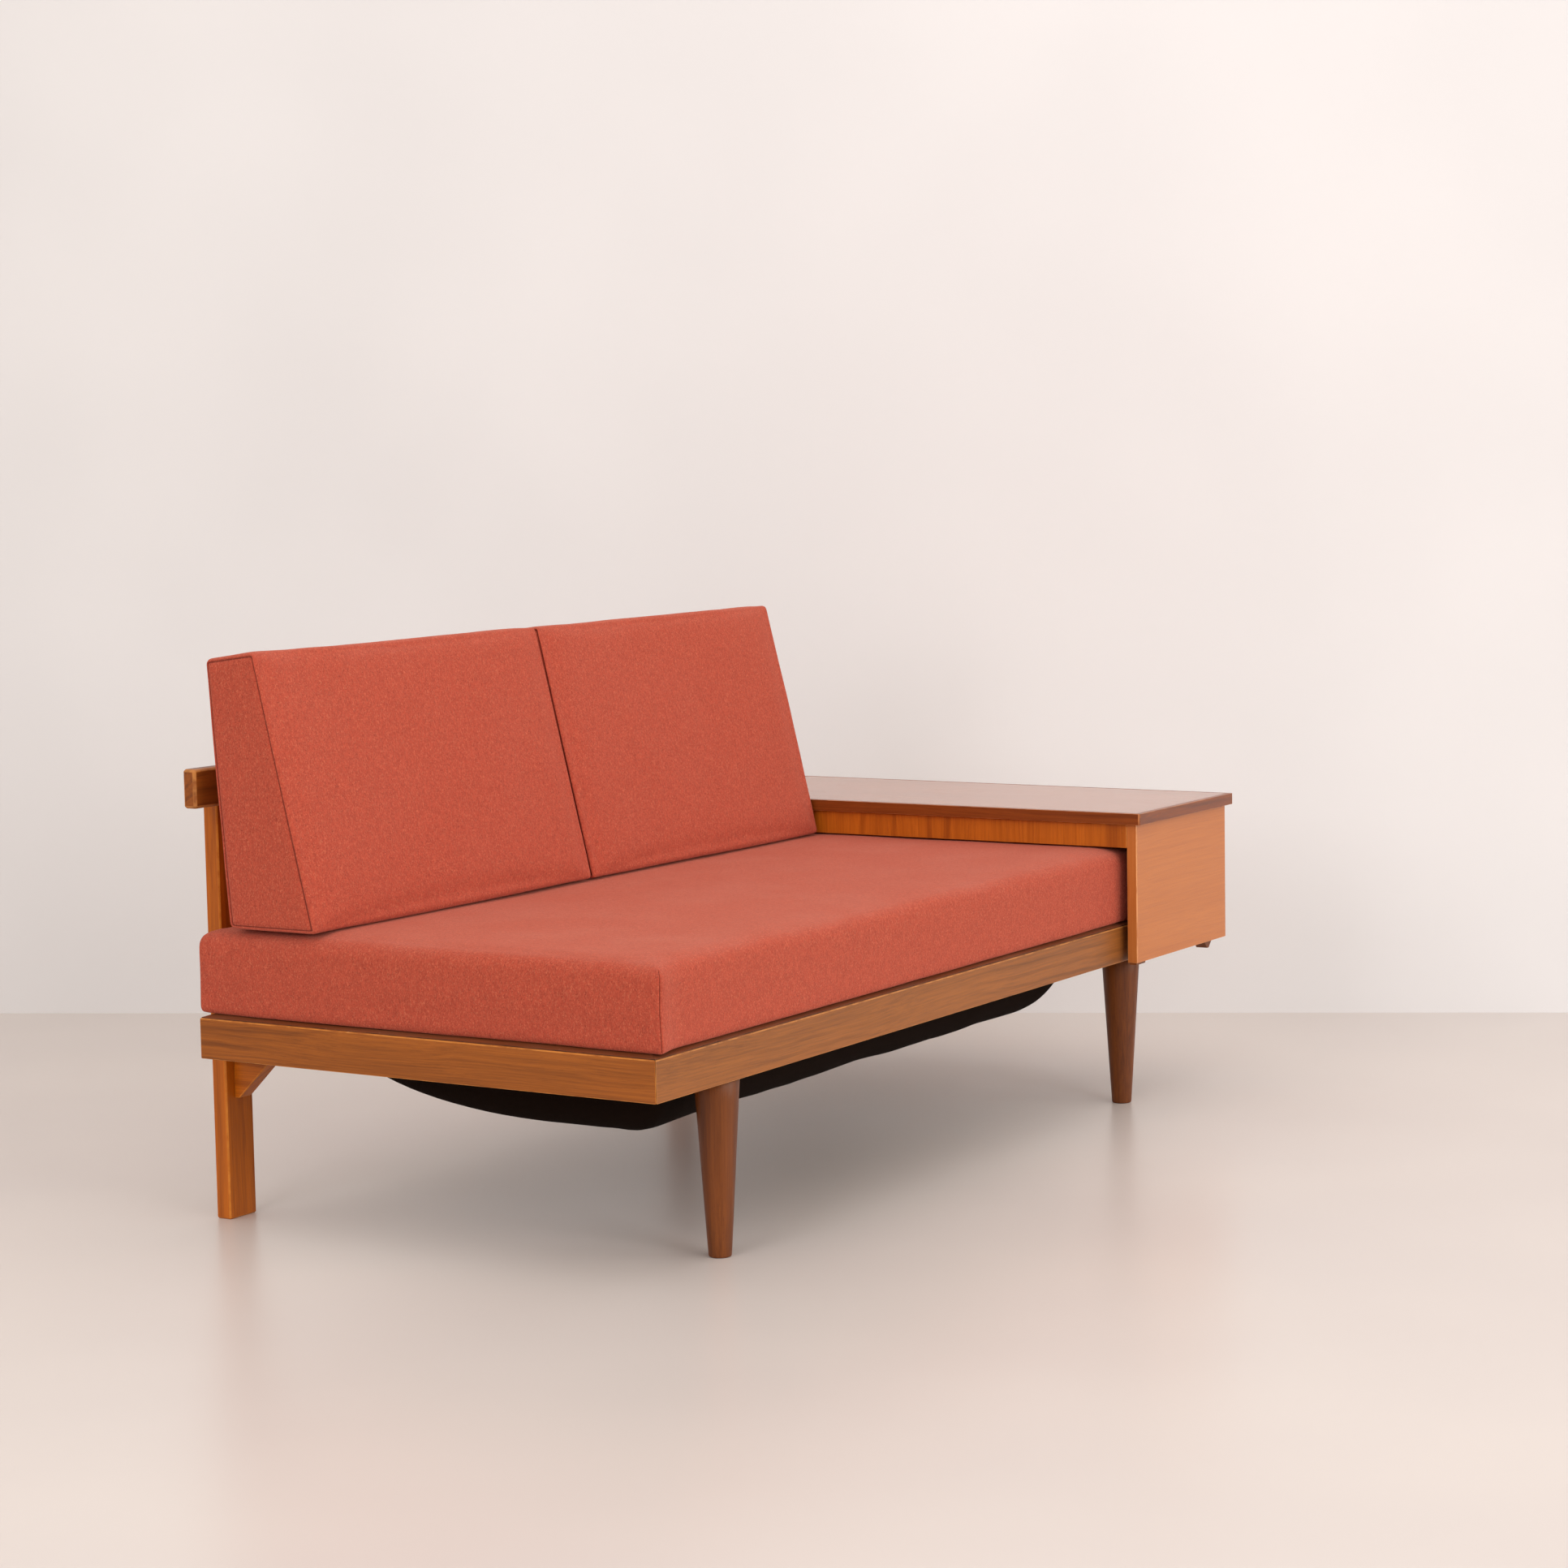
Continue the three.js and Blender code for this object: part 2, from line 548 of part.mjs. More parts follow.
/** Blocks in the outer corners and cleats that hold the top board to the side panels. */
function tableBlocks(inFront, inBack, panelTop) {
  const outer = TABLE.right - TABLE.panel - GAP;
  const inner = TABLE.left + TABLE.panel + GAP;
  const blocks = { front: inFront, rear: inBack - TABLE_BLOCK.depth };
  for (const [side, y] of Object.entries(blocks)) {
    place(`table_block_${side}`, tableBlockShape(), FINISH.legTeak,
      outer - TABLE_BLOCK.length, y, TABLE_BLOCK.bottom);
  }
  const cleats = { front: inFront, rear: inBack - CLEAT.depth };
  for (const [side, y] of Object.entries(cleats)) {
    board(`table_cleat_${side}`, [inner, y, panelTop - CLEAT.height],
      [outer, y + CLEAT.depth, panelTop], CLEAT.edge, FINISH.innerBeech);
  }
}

bedFrame();
slatBase();
frontLegs();
backPosts();
backRail();
mattress();
backCushions();
beddingBag();
bagBattens();
runnerBridge();
endTable();

const daybed = new THREE.Group();
daybed.add(assembly);

export default daybed;
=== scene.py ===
"""A daybed with a sliding end table: its looks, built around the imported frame.

Lengths are metres in the part's own frame: +X runs from the open end to the end table, +Y from
the front to the back, and +Z up from the floor. Sizes given in millimetres are turned by MM.
"""

import logging
import math
from collections.abc import Callable, Iterable, Sequence
from dataclasses import dataclass
from enum import Enum
from typing import Any

import bmesh
import bpy
import numpy as np
from mathutils import Matrix, Vector, noise


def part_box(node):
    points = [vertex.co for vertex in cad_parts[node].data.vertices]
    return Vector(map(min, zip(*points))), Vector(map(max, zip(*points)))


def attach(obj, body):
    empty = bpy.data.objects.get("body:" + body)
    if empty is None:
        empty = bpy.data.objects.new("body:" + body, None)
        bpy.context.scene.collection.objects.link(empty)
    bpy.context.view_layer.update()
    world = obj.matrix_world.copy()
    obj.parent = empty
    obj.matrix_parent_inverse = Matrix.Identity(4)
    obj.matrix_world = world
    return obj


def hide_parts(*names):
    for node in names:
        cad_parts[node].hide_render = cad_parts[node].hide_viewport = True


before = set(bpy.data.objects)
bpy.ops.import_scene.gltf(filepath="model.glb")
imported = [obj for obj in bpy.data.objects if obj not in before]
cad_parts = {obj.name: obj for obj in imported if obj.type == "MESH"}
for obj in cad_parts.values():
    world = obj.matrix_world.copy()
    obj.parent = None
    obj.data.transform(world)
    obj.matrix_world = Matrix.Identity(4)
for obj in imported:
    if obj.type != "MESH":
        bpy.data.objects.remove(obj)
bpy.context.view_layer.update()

MM = 0.001
FAR = 1.0  # past every piece, in metres
SAME = 1e-6  # points nearer than this are one point, in metres
TINY = 1e-9  # keeps a division away from zero
log = logging.getLogger("daybed")

Point = tuple[float, float, float]
Rgb = tuple[int, int, int]
Rgba = tuple[float, float, float, float]


class Grain(Enum):
    """The axis that a board's grain runs along."""

    X = 0
    Y = 1
    Z = 2


# ----------------------------------------------------------------------------------------------
# Shader nodes
# ----------------------------------------------------------------------------------------------


def linear(colour: Rgb) -> Rgba:
    """Turns a screen colour, 0 to 255, into the linear colour that shaders use.

    Args:
        colour: red, green and blue as a screen shows them.

    Returns:
        The linear red, green and blue, with an alpha of 1.
    """
    shares = [step / 255 for step in colour]
    bent = [s / 12.92 if s <= 0.04045 else ((s + 0.055) / 1.055) ** 2.4 for s in shares]
    return (bent[0], bent[1], bent[2], 1.0)


class Shading:
    """A node tree, with short calls that add a node and join its inputs."""

    def __init__(self, tree: bpy.types.NodeTree) -> None:
        """Keeps the tree that the calls add to, a material's or a node group's."""
        self.tree = tree

    def feed(self, socket: bpy.types.NodeSocket, value: Any) -> None:
        """Joins a socket to another one, or sets its value.

        Args:
            socket: the input to feed.
            value: an output socket, or a plain value.
        """
        if isinstance(value, bpy.types.NodeSocket):
            self.tree.links.new(value, socket)
        else:
            socket.default_value = value

    def join(self, node: bpy.types.Node, feeds: dict[Any, Any]) -> None:
        """Joins or sets several of a node's inputs, by name or number."""
        for socket, value in feeds.items():
            self.feed(node.inputs[socket], value)

    def add(self, kind: str, feeds: dict[Any, Any] | None = None, **settings: Any) -> bpy.types.Node:
        """Adds a node.

        Args:
            kind: the node's type, without its ShaderNode prefix.
            feeds: what goes into its inputs, by name or number.
            **settings: its properties.

        Returns:
            The new node.
        """
        node = self.tree.nodes.new("ShaderNode" + kind)
        for name, value in settings.items():
            setattr(node, name, value)
        self.join(node, feeds or {})
        return node

    def maths(self, operation: str, first: Any, second: Any = 0.0) -> bpy.types.NodeSocket:
        """Adds a Math node and gives the value that comes out."""
        return self.add("Math", {0: first, 1: second}, operation=operation).outputs[0]

    def vectors(self, operation: str, first: Any, second: Any) -> bpy.types.NodeSocket:
        """Adds a Vector Math node and gives the vector that comes out."""
        return self.add("VectorMath", {0: first, 1: second}, operation=operation).outputs["Vector"]

    def swing(self, pattern: Any, gain: Any) -> bpy.types.NodeSocket:
        """Turns a pattern that lies about 0.5 into one about 0, times a gain."""
        return self.maths("MULTIPLY", self.maths("SUBTRACT", pattern, 0.5), gain)

    def cloud(self, place: Any, scale: Any, detail: float = 2.0, rough: float = 0.5) -> Any:
        """Adds noise: its features for each metre, its finer layers and their strength."""
        feeds = {"Vector": place, "Scale": scale, "Detail": detail, "Roughness": rough}
        return self.add("TexNoise", feeds).outputs[0]

    def drawn_out(self, place: Any, waves: Point, detail: float = 2.0, rough: float = 0.5) -> Any:
        """Adds noise with its own number of features for each metre along each axis."""
        return self.cloud(self.vectors("MULTIPLY", place, waves), 1.0, detail, rough)

    def span(self, value: Any, low: float, high: float, start: Any = 0.0, end: Any = 1.0) -> Any:
        """Adds a smooth Map Range node, where low gives start and high gives end."""
        feeds = {"Value": value, "From Min": low, "From Max": high, "To Min": start, "To Max": end}
        return self.add("MapRange", feeds, interpolation_type="SMOOTHSTEP").outputs[0]

    def mixed(self, share: Any, first: Any, second: Any) -> Any:
        """Mixes two colours, where share, 0 to 1, is how much of the second shows."""
        feeds = {0: share, 6: first, 7: second}
        return self.add("Mix", feeds, data_type="RGBA", clamp_factor=True).outputs[2]


def new_material(name: str) -> tuple[bpy.types.Material, Shading, bpy.types.Node]:
    """Makes a material.

    Args:
        name: its name.

    Returns:
        The material, its nodes, and its Principled BSDF.
    """
    material = bpy.data.materials.new(name)
    material.use_nodes = True
    tree = material.node_tree
    return material, Shading(tree), tree.nodes["Principled BSDF"]


class Effect:
    """A shader node group that several finishes share, built the first time it is used."""

    NAME = "effect"
    INPUTS: dict[str, Any] = {}
    OUTPUTS: dict[str, str] = {}

    def wire(self, nodes: Shading, given: Any) -> dict[str, Any]:
        """Fills the group in from its own inputs, and says what each output gets."""
        raise NotImplementedError

    def group(self) -> bpy.types.ShaderNodeTree:
        """Builds the group, or finds it where it was built before.

        Returns:
            The node group.
        """
        found = bpy.data.node_groups.get(self.NAME)
        if found:
            return found
        tree = bpy.data.node_groups.new(self.NAME, "ShaderNodeTree")
        for name, value in self.INPUTS.items():
            kind = "NodeSocketColor" if isinstance(value, tuple) else "NodeSocketFloat"
            tree.interface.new_socket(name=name, in_out="INPUT", socket_type=kind).default_value = value
        for name, kind in self.OUTPUTS.items():
            tree.interface.new_socket(name=name, in_out="OUTPUT", socket_type=kind)
        given = tree.nodes.new("NodeGroupInput").outputs
        end = tree.nodes.new("NodeGroupOutput")
        nodes = Shading(tree)
        nodes.join(end, self.wire(nodes, given))
        return tree

    def place(self, nodes: Shading, **values: Any) -> Any:
        """Puts the group in a material with these inputs, and gives its outputs."""
        return nodes.add("Group", values, node_tree=self.group()).outputs


class WoodGrain(Effect):
    """Long streaks, growth rings, fine fibres and pores, along each board's own grain."""

    NAME = "wood_grain"
    INPUTS = {
        "Light": (0.5, 0.3, 0.1, 1.0),
        "Dark": (0.2, 0.1, 0.03, 1.0),
        "Streaks": 0.5,
        "Rings": 0.3,
        "Roughness": 0.4,
    }
    OUTPUTS = {
        "Colour": "NodeSocketColor",
        "Roughness": "NodeSocketFloat",
        "Height": "NodeSocketFloat",
    }
    # Features for each metre, along the grain and both ways across it.
    SWAY = (1.6, 7.0, 7.0)
    STREAKS = (0.9, 34.0, 34.0)
    FIBRES = (7.0, 430.0, 430.0)
    PORES = (46.0, 1500.0, 1500.0)
    FIGURE = (2.0, 11.0, 11.0)
    # The growth rings lie about a heart that stands off the board and leans a little.
    HEART = (0.0, 0.09, 0.14)
    LEAN = (0.05, 1.0, 1.0)
    RING_TURNS = 430.0
    FLAME = 9.0
    SWAY_WIDTH = 0.045

    def wire(self, nodes: Shading, given: Any) -> dict[str, Any]:
        """Draws the grain.

        Args:
            nodes: the group's tree.
            given: the group's own inputs, by name.

        Returns:
            The colour, roughness and height.
        """
        board = nodes.add("Attribute", attribute_name="grain").outputs["Vector"]
        shift = nodes.swing(nodes.drawn_out(board, self.SWAY), self.SWAY_WIDTH)
        shifts = nodes.add("CombineXYZ", {0: 0.0, 1: shift, 2: shift}).outputs[0]
        wavy = nodes.vectors("ADD", board, shifts)
        streak = nodes.drawn_out(wavy, self.STREAKS, 3.0, 0.6)
        fibre = nodes.drawn_out(wavy, self.FIBRES, 3.0, 0.6)
        pores = nodes.span(nodes.drawn_out(wavy, self.PORES, 1.0), 0.60, 0.72)
        heart = nodes.vectors("ADD", nodes.vectors("MULTIPLY", wavy, self.LEAN), self.HEART)
        apart = nodes.add("VectorMath", {0: heart}, operation="LENGTH").outputs["Value"]
        flame = nodes.maths("MULTIPLY", nodes.cloud(board, 5.0), self.FLAME)
        turns = nodes.maths("ADD", nodes.maths("MULTIPLY", apart, self.RING_TURNS), flame)
        faint = nodes.span(nodes.drawn_out(board, self.FIGURE), 0.42, 0.62)
        ring = nodes.maths("MULTIPLY", nodes.span(nodes.maths("SINE", turns), 0.1, 1.0), faint)
        parts = (
            nodes.swing(streak, given["Streaks"]),
            nodes.maths("MULTIPLY", nodes.maths("SUBTRACT", 0.2, ring), given["Rings"]),
            nodes.swing(fibre, 0.8),
        )
        share = 0.5
        for part in parts:
            share = nodes.maths("ADD", part, share)
        wood = nodes.mixed(nodes.span(share, 0.0, 1.0), given["Dark"], given["Light"])
        shade = nodes.maths("MULTIPLY", pores, 0.35)
        return {
            "Colour": nodes.mixed(shade, wood, given["Dark"]),
            "Roughness": nodes.maths("ADD", given["Roughness"], nodes.swing(fibre, 0.2)),
            "Height": nodes.maths("SUBTRACT", nodes.maths("MULTIPLY", fibre, 0.6), pores),
        }


class EdgeWearAndPaintedLight(Effect):
    """A mask along a board's edges for their own colour, which is partly wear, where hands and cloths have
    polished the finish off, and partly painted light along the arris.
    """

    NAME = "edge_wear"
    INPUTS = {"Amount": 0.6, "Scale": 40.0}
    OUTPUTS = {"Mask": "NodeSocketFloat"}

    def wire(self, nodes: Shading, given: Any) -> dict[str, Any]:
        """Breaks the edge mask up.

        Args:
            nodes: the group's tree.
            given: the group's own inputs, by name.

        Returns:
            The share of the surface that gets the edge colour of wear and painted light.
        """
        edge = nodes.add("Attribute", attribute_name="edge").outputs["Fac"]
        place = nodes.add("Attribute", attribute_name="grain").outputs["Vector"]
        broken = nodes.span(nodes.cloud(place, given["Scale"], 4.0, 0.6), 0.3, 0.62)
        # The edges' share: it takes wear and painted light, a highlight along the arris and, on the bead, a
        # shadow line.
        edge_wear_and_light = nodes.maths("MULTIPLY", edge, broken)
        return {"Mask": nodes.maths("MULTIPLY", edge_wear_and_light, given["Amount"])}


class Melange(Effect):
    """Felted wool spun from fibres of several tones, with a short brushed nap."""

    NAME = "wool_melange"
    INPUTS = {
        "Base": (0.5, 0.1, 0.06, 1.0),
        "Light": (0.7, 0.3, 0.2, 1.0),
        "Dark": (0.3, 0.05, 0.03, 1.0),
        "Scale": 500.0,
        "Contrast": 0.5,
    }
    OUTPUTS = {"Colour": "NodeSocketColor", "Height": "NodeSocketFloat"}

    def wire(self, nodes: Shading, given: Any) -> dict[str, Any]:
        """Mixes the fibres.

        Args:
            nodes: the group's tree.
            given: the group's own inputs, by name.

        Returns:
            The colour and the height of the nap.
        """
        place = nodes.add("TexCoord").outputs["Object"]
        moved = nodes.vectors("ADD", place, (3.1, 1.7, 2.3))
        tall = nodes.vectors("MULTIPLY", place, (1.0, 1.0, 0.6))
        pale = nodes.span(nodes.cloud(tall, given["Scale"], 3.0, 0.7), 0.50, 0.68)
        deep = nodes.span(nodes.cloud(moved, given["Scale"], 3.0, 0.7), 0.52, 0.70)
        mottle = nodes.span(nodes.cloud(tall, 210.0, 4.0, 0.8), 0.38, 0.62)
        nap = nodes.cloud(nodes.vectors("MULTIPLY", moved, (1.0, 1.0, 0.4)), 900.0, 2.0, 0.6)
        lighter = nodes.maths("MULTIPLY", pale, given["Contrast"])
        darker = nodes.maths("MULTIPLY", deep, given["Contrast"])
        flecked = nodes.mixed(darker, nodes.mixed(lighter, given["Base"], given["Light"]), given["Dark"])
        depth = nodes.maths("MULTIPLY", nodes.maths("MULTIPLY", mottle, given["Contrast"]), 0.4)
        shaded = nodes.mixed(depth, flecked, given["Dark"])
        height = nodes.maths("ADD", nap, nodes.maths("MULTIPLY", pale, 0.5))
        return {"Colour": shaded, "Height": height}


class PlainWeave(Effect):
    """Crossing yarns, one over and one under."""

    NAME = "plain_weave"
    INPUTS = {"Yarns": 900.0}
    OUTPUTS = {"Mask": "NodeSocketFloat", "Height": "NodeSocketFloat"}

    def wire(self, nodes: Shading, given: Any) -> dict[str, Any]:
        """Crosses the yarns.

        Args:
            nodes: the group's tree.
            given: the group's own inputs, by name.

        Returns:
            Where the upper yarns show, and the height.
        """
        place = nodes.add("TexCoord").outputs["Object"]
        turns = nodes.maths("MULTIPLY", given["Yarns"], math.pi)
        parts = nodes.add("SeparateXYZ", {0: place}).outputs
        warp = nodes.maths("SINE", nodes.maths("MULTIPLY", parts[0], turns))
        weft = nodes.maths("SINE", nodes.maths("MULTIPLY", parts[1], turns))
        cross = nodes.maths("MULTIPLY", warp, weft)
        slub = nodes.cloud(place, 260.0, 3.0)
        height = nodes.maths("ADD", nodes.maths("MULTIPLY", cross, 0.4), slub)
        return {"Mask": nodes.span(cross, -0.6, 0.6), "Height": height}


class Dust(Effect):
    """Fine dust and lint that settles on what faces up."""

    NAME = "dust"
    INPUTS = {"Amount": 0.3, "Scale": 90.0}
    OUTPUTS = {"Mask": "NodeSocketFloat"}

    def wire(self, nodes: Shading, given: Any) -> dict[str, Any]:
        """Scatters the dust.

        Args:
            nodes: the group's tree.
            given: the group's own inputs, by name.

        Returns:
            The dusty share of the surface.
        """
        place = nodes.add("TexCoord").outputs["Object"]
        normal = nodes.add("NewGeometry").outputs["Normal"]
        upward = nodes.span(nodes.add("SeparateXYZ", {0: normal}).outputs[2], 0.0, 0.9)
        film = nodes.span(nodes.cloud(place, 7.0, 4.0, 0.6), 0.35, 0.75)
        lint = nodes.span(nodes.cloud(place, given["Scale"], 3.0, 0.7), 0.66, 0.74)
        loose = nodes.maths("ADD", nodes.maths("MULTIPLY", film, 0.25), lint)
        settled = nodes.maths("MULTIPLY", loose, upward)
        return {"Mask": nodes.maths("MULTIPLY", settled, given["Amount"])}


# ----------------------------------------------------------------------------------------------
# Finishes
# ----------------------------------------------------------------------------------------------


WOOD_DUST = (214, 196, 176)
WOOL_LINT = (226, 196, 184)
WOOL_SHEEN = (240, 170, 150)
BAG_DUST = (120, 108, 98)


@dataclass(frozen=True)
class Finish:
    """What every finish has: its own name, and the record's slot that it belongs to."""

    name: str
    slot: str

    def dress(self, nodes: Shading, shader: bpy.types.Node) -> None:
        """Joins the finish's nodes to its shader."""
        raise NotImplementedError

    def material(self) -> bpy.types.Material:
        """Builds the material, or finds it where it was built before.

        Returns:
            The material.
        """
        title = f"{self.name}_finish"
        found = bpy.data.materials.get(title)
        if found:
            return found
        material, nodes, shader = new_material(title)
        self.dress(nodes, shader)
        return material

    def bump(self, nodes: Shading, height: Any, strength: float, depth: float) -> Any:
        """Adds a Bump node, whose depth, in metres, is what a height of 1 stands for."""
        feeds = {"Height": height, "Strength": strength, "Distance": depth}
        return nodes.add("Bump", feeds).outputs["Normal"]


@dataclass(frozen=True)
class WoodFinish(Finish):
    """Oiled or lacquered wood, with the tones and the figure of its own boards."""

    light: Rgb
    dark: Rgb
    # The edges' colour: paler for wear and a painted highlight along the arris, near-black on the bead for a
    # painted shadow line.
    edge_wear_and_light: Rgb
    streaks: float = 0.9
    rings: float = 0.3
    roughness: float = 0.42
    lacquer: float = 0.0
    wear: float = 0.6

    def dress(self, nodes: Shading, shader: bpy.types.Node) -> None:
        """Joins grain, edges with wear and painted light, and dust to the shader.

        Args:
            nodes: the material's tree.
            shader: its Principled BSDF.
        """
        grain = WoodGrain().place(
            nodes,
            Light=linear(self.light),
            Dark=linear(self.dark),
            Streaks=self.streaks,
            Rings=self.rings,
            Roughness=self.roughness,
        )
        # Edges get their own colour: wear and a painted highlight, and on the bead a painted shadow line.
        edge_wear_and_light = EdgeWearAndPaintedLight().place(nodes, Amount=self.wear)["Mask"]
        dusty = Dust().place(nodes, Amount=0.12)["Mask"]
        wood_with_edge_wear_and_light = nodes.mixed(edge_wear_and_light, grain["Colour"], linear(self.edge_wear_and_light))
        nodes.join(shader, {
            "Base Color": nodes.mixed(dusty, wood_with_edge_wear_and_light, linear(WOOD_DUST)),
            "Roughness": grain["Roughness"],
            "Normal": self.bump(nodes, grain["Height"], strength=0.25, depth=0.2 * MM),
            "Specular IOR Level": 0.3,
            "Coat Weight": self.lacquer,
            "Coat Roughness": 0.22,
        })


@dataclass(frozen=True)
class WoolFinish(Finish):
    """Melange wool, matt, with a soft rim of nap, and seams darkened by thread colour and painted crease
    shade.
    """

    base: Rgb
    light: Rgb
    dark: Rgb
    # The seams' colour: partly thread, partly painted shade in the seam's crease.
    seam: Rgb
    contrast: float = 0.5

    def dress(self, nodes: Shading, shader: bpy.types.Node) -> None:
        """Joins the wool's fibres, seams with their painted crease shade, and lint to the shader.

        Args:
            nodes: the material's tree.
            shader: its Principled BSDF.
        """
        wool = Melange().place(
            nodes,
            Base=linear(self.base),
            Light=linear(self.light),
            Dark=linear(self.dark),
            Contrast=self.contrast,
        )
        sewn = nodes.add("Attribute", attribute_name="seam").outputs["Fac"]
        # Darkens the seam lines: partly thread colour, partly painted shade in the crease.
        line = nodes.maths("MULTIPLY", nodes.span(sewn, 0.35, 0.95), 0.8)
        lint = Dust().place(nodes, Amount=0.15, Scale=260.0)["Mask"]
        stitched_and_crease_shaded = nodes.mixed(line, wool["Colour"], linear(self.seam))
        nodes.join(shader, {
            "Base Color": nodes.mixed(lint, stitched_and_crease_shaded, linear(WOOL_LINT)),
            "Roughness": 0.95,
            "Specular IOR Level": 0.2,
            "Sheen Weight": 0.35,
            "Sheen Roughness": 0.45,
            "Sheen Tint": linear(WOOL_SHEEN),
            "Normal": self.bump(nodes, wool["Height"], strength=0.7, depth=0.9 * MM),
        })


@dataclass(frozen=True)
class ClothFinish(Finish):
    """Plain cotton cloth, closely woven and slightly dusty."""

    upper: Rgb
    lower: Rgb

    def dress(self, nodes: Shading, shader: bpy.types.Node) -> None:
        """Joins the weave and its dust to the shader.

        Args:
            nodes: the material's tree.
            shader: its Principled BSDF.
        """
        weave = PlainWeave().place(nodes)
        cloth = nodes.mixed(weave["Mask"], linear(self.lower), linear(self.upper))
        dusty = Dust().place(nodes, Amount=0.12)["Mask"]
        nodes.join(shader, {
            "Base Color": nodes.mixed(dusty, cloth, linear(BAG_DUST)),
            "Roughness": 0.9,
            "Specular IOR Level": 0.06,
            "Normal": self.bump(nodes, weave["Height"], strength=0.5, depth=0.4 * MM),
        })


@dataclass(frozen=True)
class MetalFinish(Finish):
    """Zinc-plated or blued steel, dulled unevenly."""

    colour: Rgb
    dull: Rgb
    roughness: float = 0.38

    def dress(self, nodes: Shading, shader: bpy.types.Node) -> None:
        """Joins the tarnish to the shader.

        Args:
            nodes: the material's tree.
            shader: its Principled BSDF.
        """
        place = nodes.add("TexCoord").outputs["Object"]
        tarnish = nodes.span(nodes.cloud(place, 380.0, 4.0, 0.6), 0.35, 0.7)
        nodes.join(shader, {
            "Base Color": nodes.mixed(tarnish, linear(self.colour), linear(self.dull)),
            "Roughness": nodes.maths("ADD", nodes.maths("MULTIPLY", tarnish, 0.2), self.roughness),
            "Metallic": 1.0,
            "Normal": self.bump(nodes, tarnish, strength=0.2, depth=0.1 * MM),
        })


# The third colour of each wood is its edges': paler, for wear and a painted highlight along the arris.
RAIL_TEAK = WoodFinish(
    "rail_teak", "frame_teak", (166, 100, 44), (100, 58, 22), (206, 138, 70), 0.45, 0.15
)
END_TEAK = WoodFinish(
    "end_rail_teak", "frame_teak", (166, 92, 26), (98, 48, 8), (210, 136, 56), 1.0, 0.35
)
# The bead's brown includes painted shade from the mattress above; its near-black edge colour, at full
# amount, is a painted shadow line along its foot.
BEAD_TEAK_PAINTED_SHADE = WoodFinish(
    "bead_teak", "frame_teak", (128, 66, 32), (88, 42, 18), (40, 18, 8), 0.8, 0.2, 0.5, 0.0, 1.0
)
POST_TEAK = WoodFinish(
    "post_teak", "post_teak", (200, 107, 14), (136, 64, 5), (216, 136, 50), 0.7, 0.25
)
LEG_TEAK = WoodFinish("leg_teak", "leg_teak", (126, 67, 22), (70, 30, 7), (146, 82, 40), 1.2, 0.4)
TOP_TEAK = WoodFinish(
    "table_top_teak", "table_veneer", (180, 102, 50), (122, 58, 22), (222, 152, 108), 0.6, 0.2,
    0.24, 0.8,
)
EDGE_TEAK = WoodFinish(
    "table_edge_teak", "table_veneer", (140, 70, 20), (90, 38, 7), (214, 140, 84), 0.7, 0.2, 0.36,
    0.2,
)
PANEL_VENEER = WoodFinish(
    "panel_veneer", "table_veneer", (196, 119, 58), (170, 94, 38), (232, 164, 106), 0.35, 0.05,
    0.36, 0.2,
)
APRON_VENEER = WoodFinish(
    "apron_veneer", "table_veneer", (200, 110, 24), (144, 70, 8), (214, 132, 50), 0.55, 0.35,
    0.36, 0.2,
)
BACK_TEAK = WoodFinish(
    "back_rail_teak", "frame_teak", (150, 80, 24), (94, 44, 10), (210, 140, 70), 0.9, 0.35
)
BEECH = WoodFinish(
    "inner_beech", "inner_beech", (214, 184, 142), (176, 138, 96), (226, 200, 164), 0.5, 0.2, 0.6
)
# The wool's fourth colour, for its seams, is partly thread and partly painted crease shade.
WOOL = WoolFinish(
    "terracotta_wool", "wool_cover", (180, 77, 57), (212, 114, 84), (114, 38, 31), (88, 28, 21), 0.7
)
BAG_CLOTH = ClothFinish("bag_cotton", "bag_cloth", (28, 16, 10), (14, 8, 5))
HEM_CLOTH = ClothFinish("hem_cotton", "bag_cloth", (40, 29, 24), (22, 15, 12))
STEEL = MetalFinish("zinc_steel", "steel_fastener", (176, 178, 180), (128, 126, 122))
TACK_STEEL = MetalFinish("blued_tacks", "steel_fastener", (88, 86, 90), (54, 50, 50), 0.5)


# ----------------------------------------------------------------------------------------------
# Meshes
# ----------------------------------------------------------------------------------------------


def new_piece(name: str, mesh: bpy.types.Mesh) -> bpy.types.Object:
    """Puts a mesh in the scene as a piece.

    Args:
        name: the piece's name.
        mesh: its mesh, placed in the part's own frame.

    Returns:
        The new object.
    """
    piece = bpy.data.objects.new(name, mesh)
    bpy.context.scene.collection.objects.link(piece)
    return piece


def mesh_of(name: str, points: Iterable[Sequence[float]], faces: Iterable[Sequence[int]]) -> bpy.types.Mesh:
    """Builds a mesh from points and faces.

    Args:
        name: the mesh's name.
        points: its vertices.
        faces: the vertices of each face, in order.

    Returns:
        The new mesh.
    """
    mesh = bpy.data.meshes.new(name)
    mesh.from_pydata([tuple(point) for point in points], [], [tuple(face) for face in faces])
    mesh.validate()
    return mesh


def rows_of(items: Any, field: str) -> np.ndarray:
    """Reads a vector from each of a mesh's items.

    Args:
        items: the mesh's vertices or its vertex normals.
        field: the vector's name.

    Returns:
        The vectors, one row each.
    """
    found = np.empty(len(items) * 3, np.float32)
    items.foreach_get(field, found)
    return found.reshape(-1, 3).astype(float)


def places(mesh: bpy.types.Mesh) -> np.ndarray:
    """The mesh's vertices, one row each."""
    return rows_of(mesh.vertices, "co")


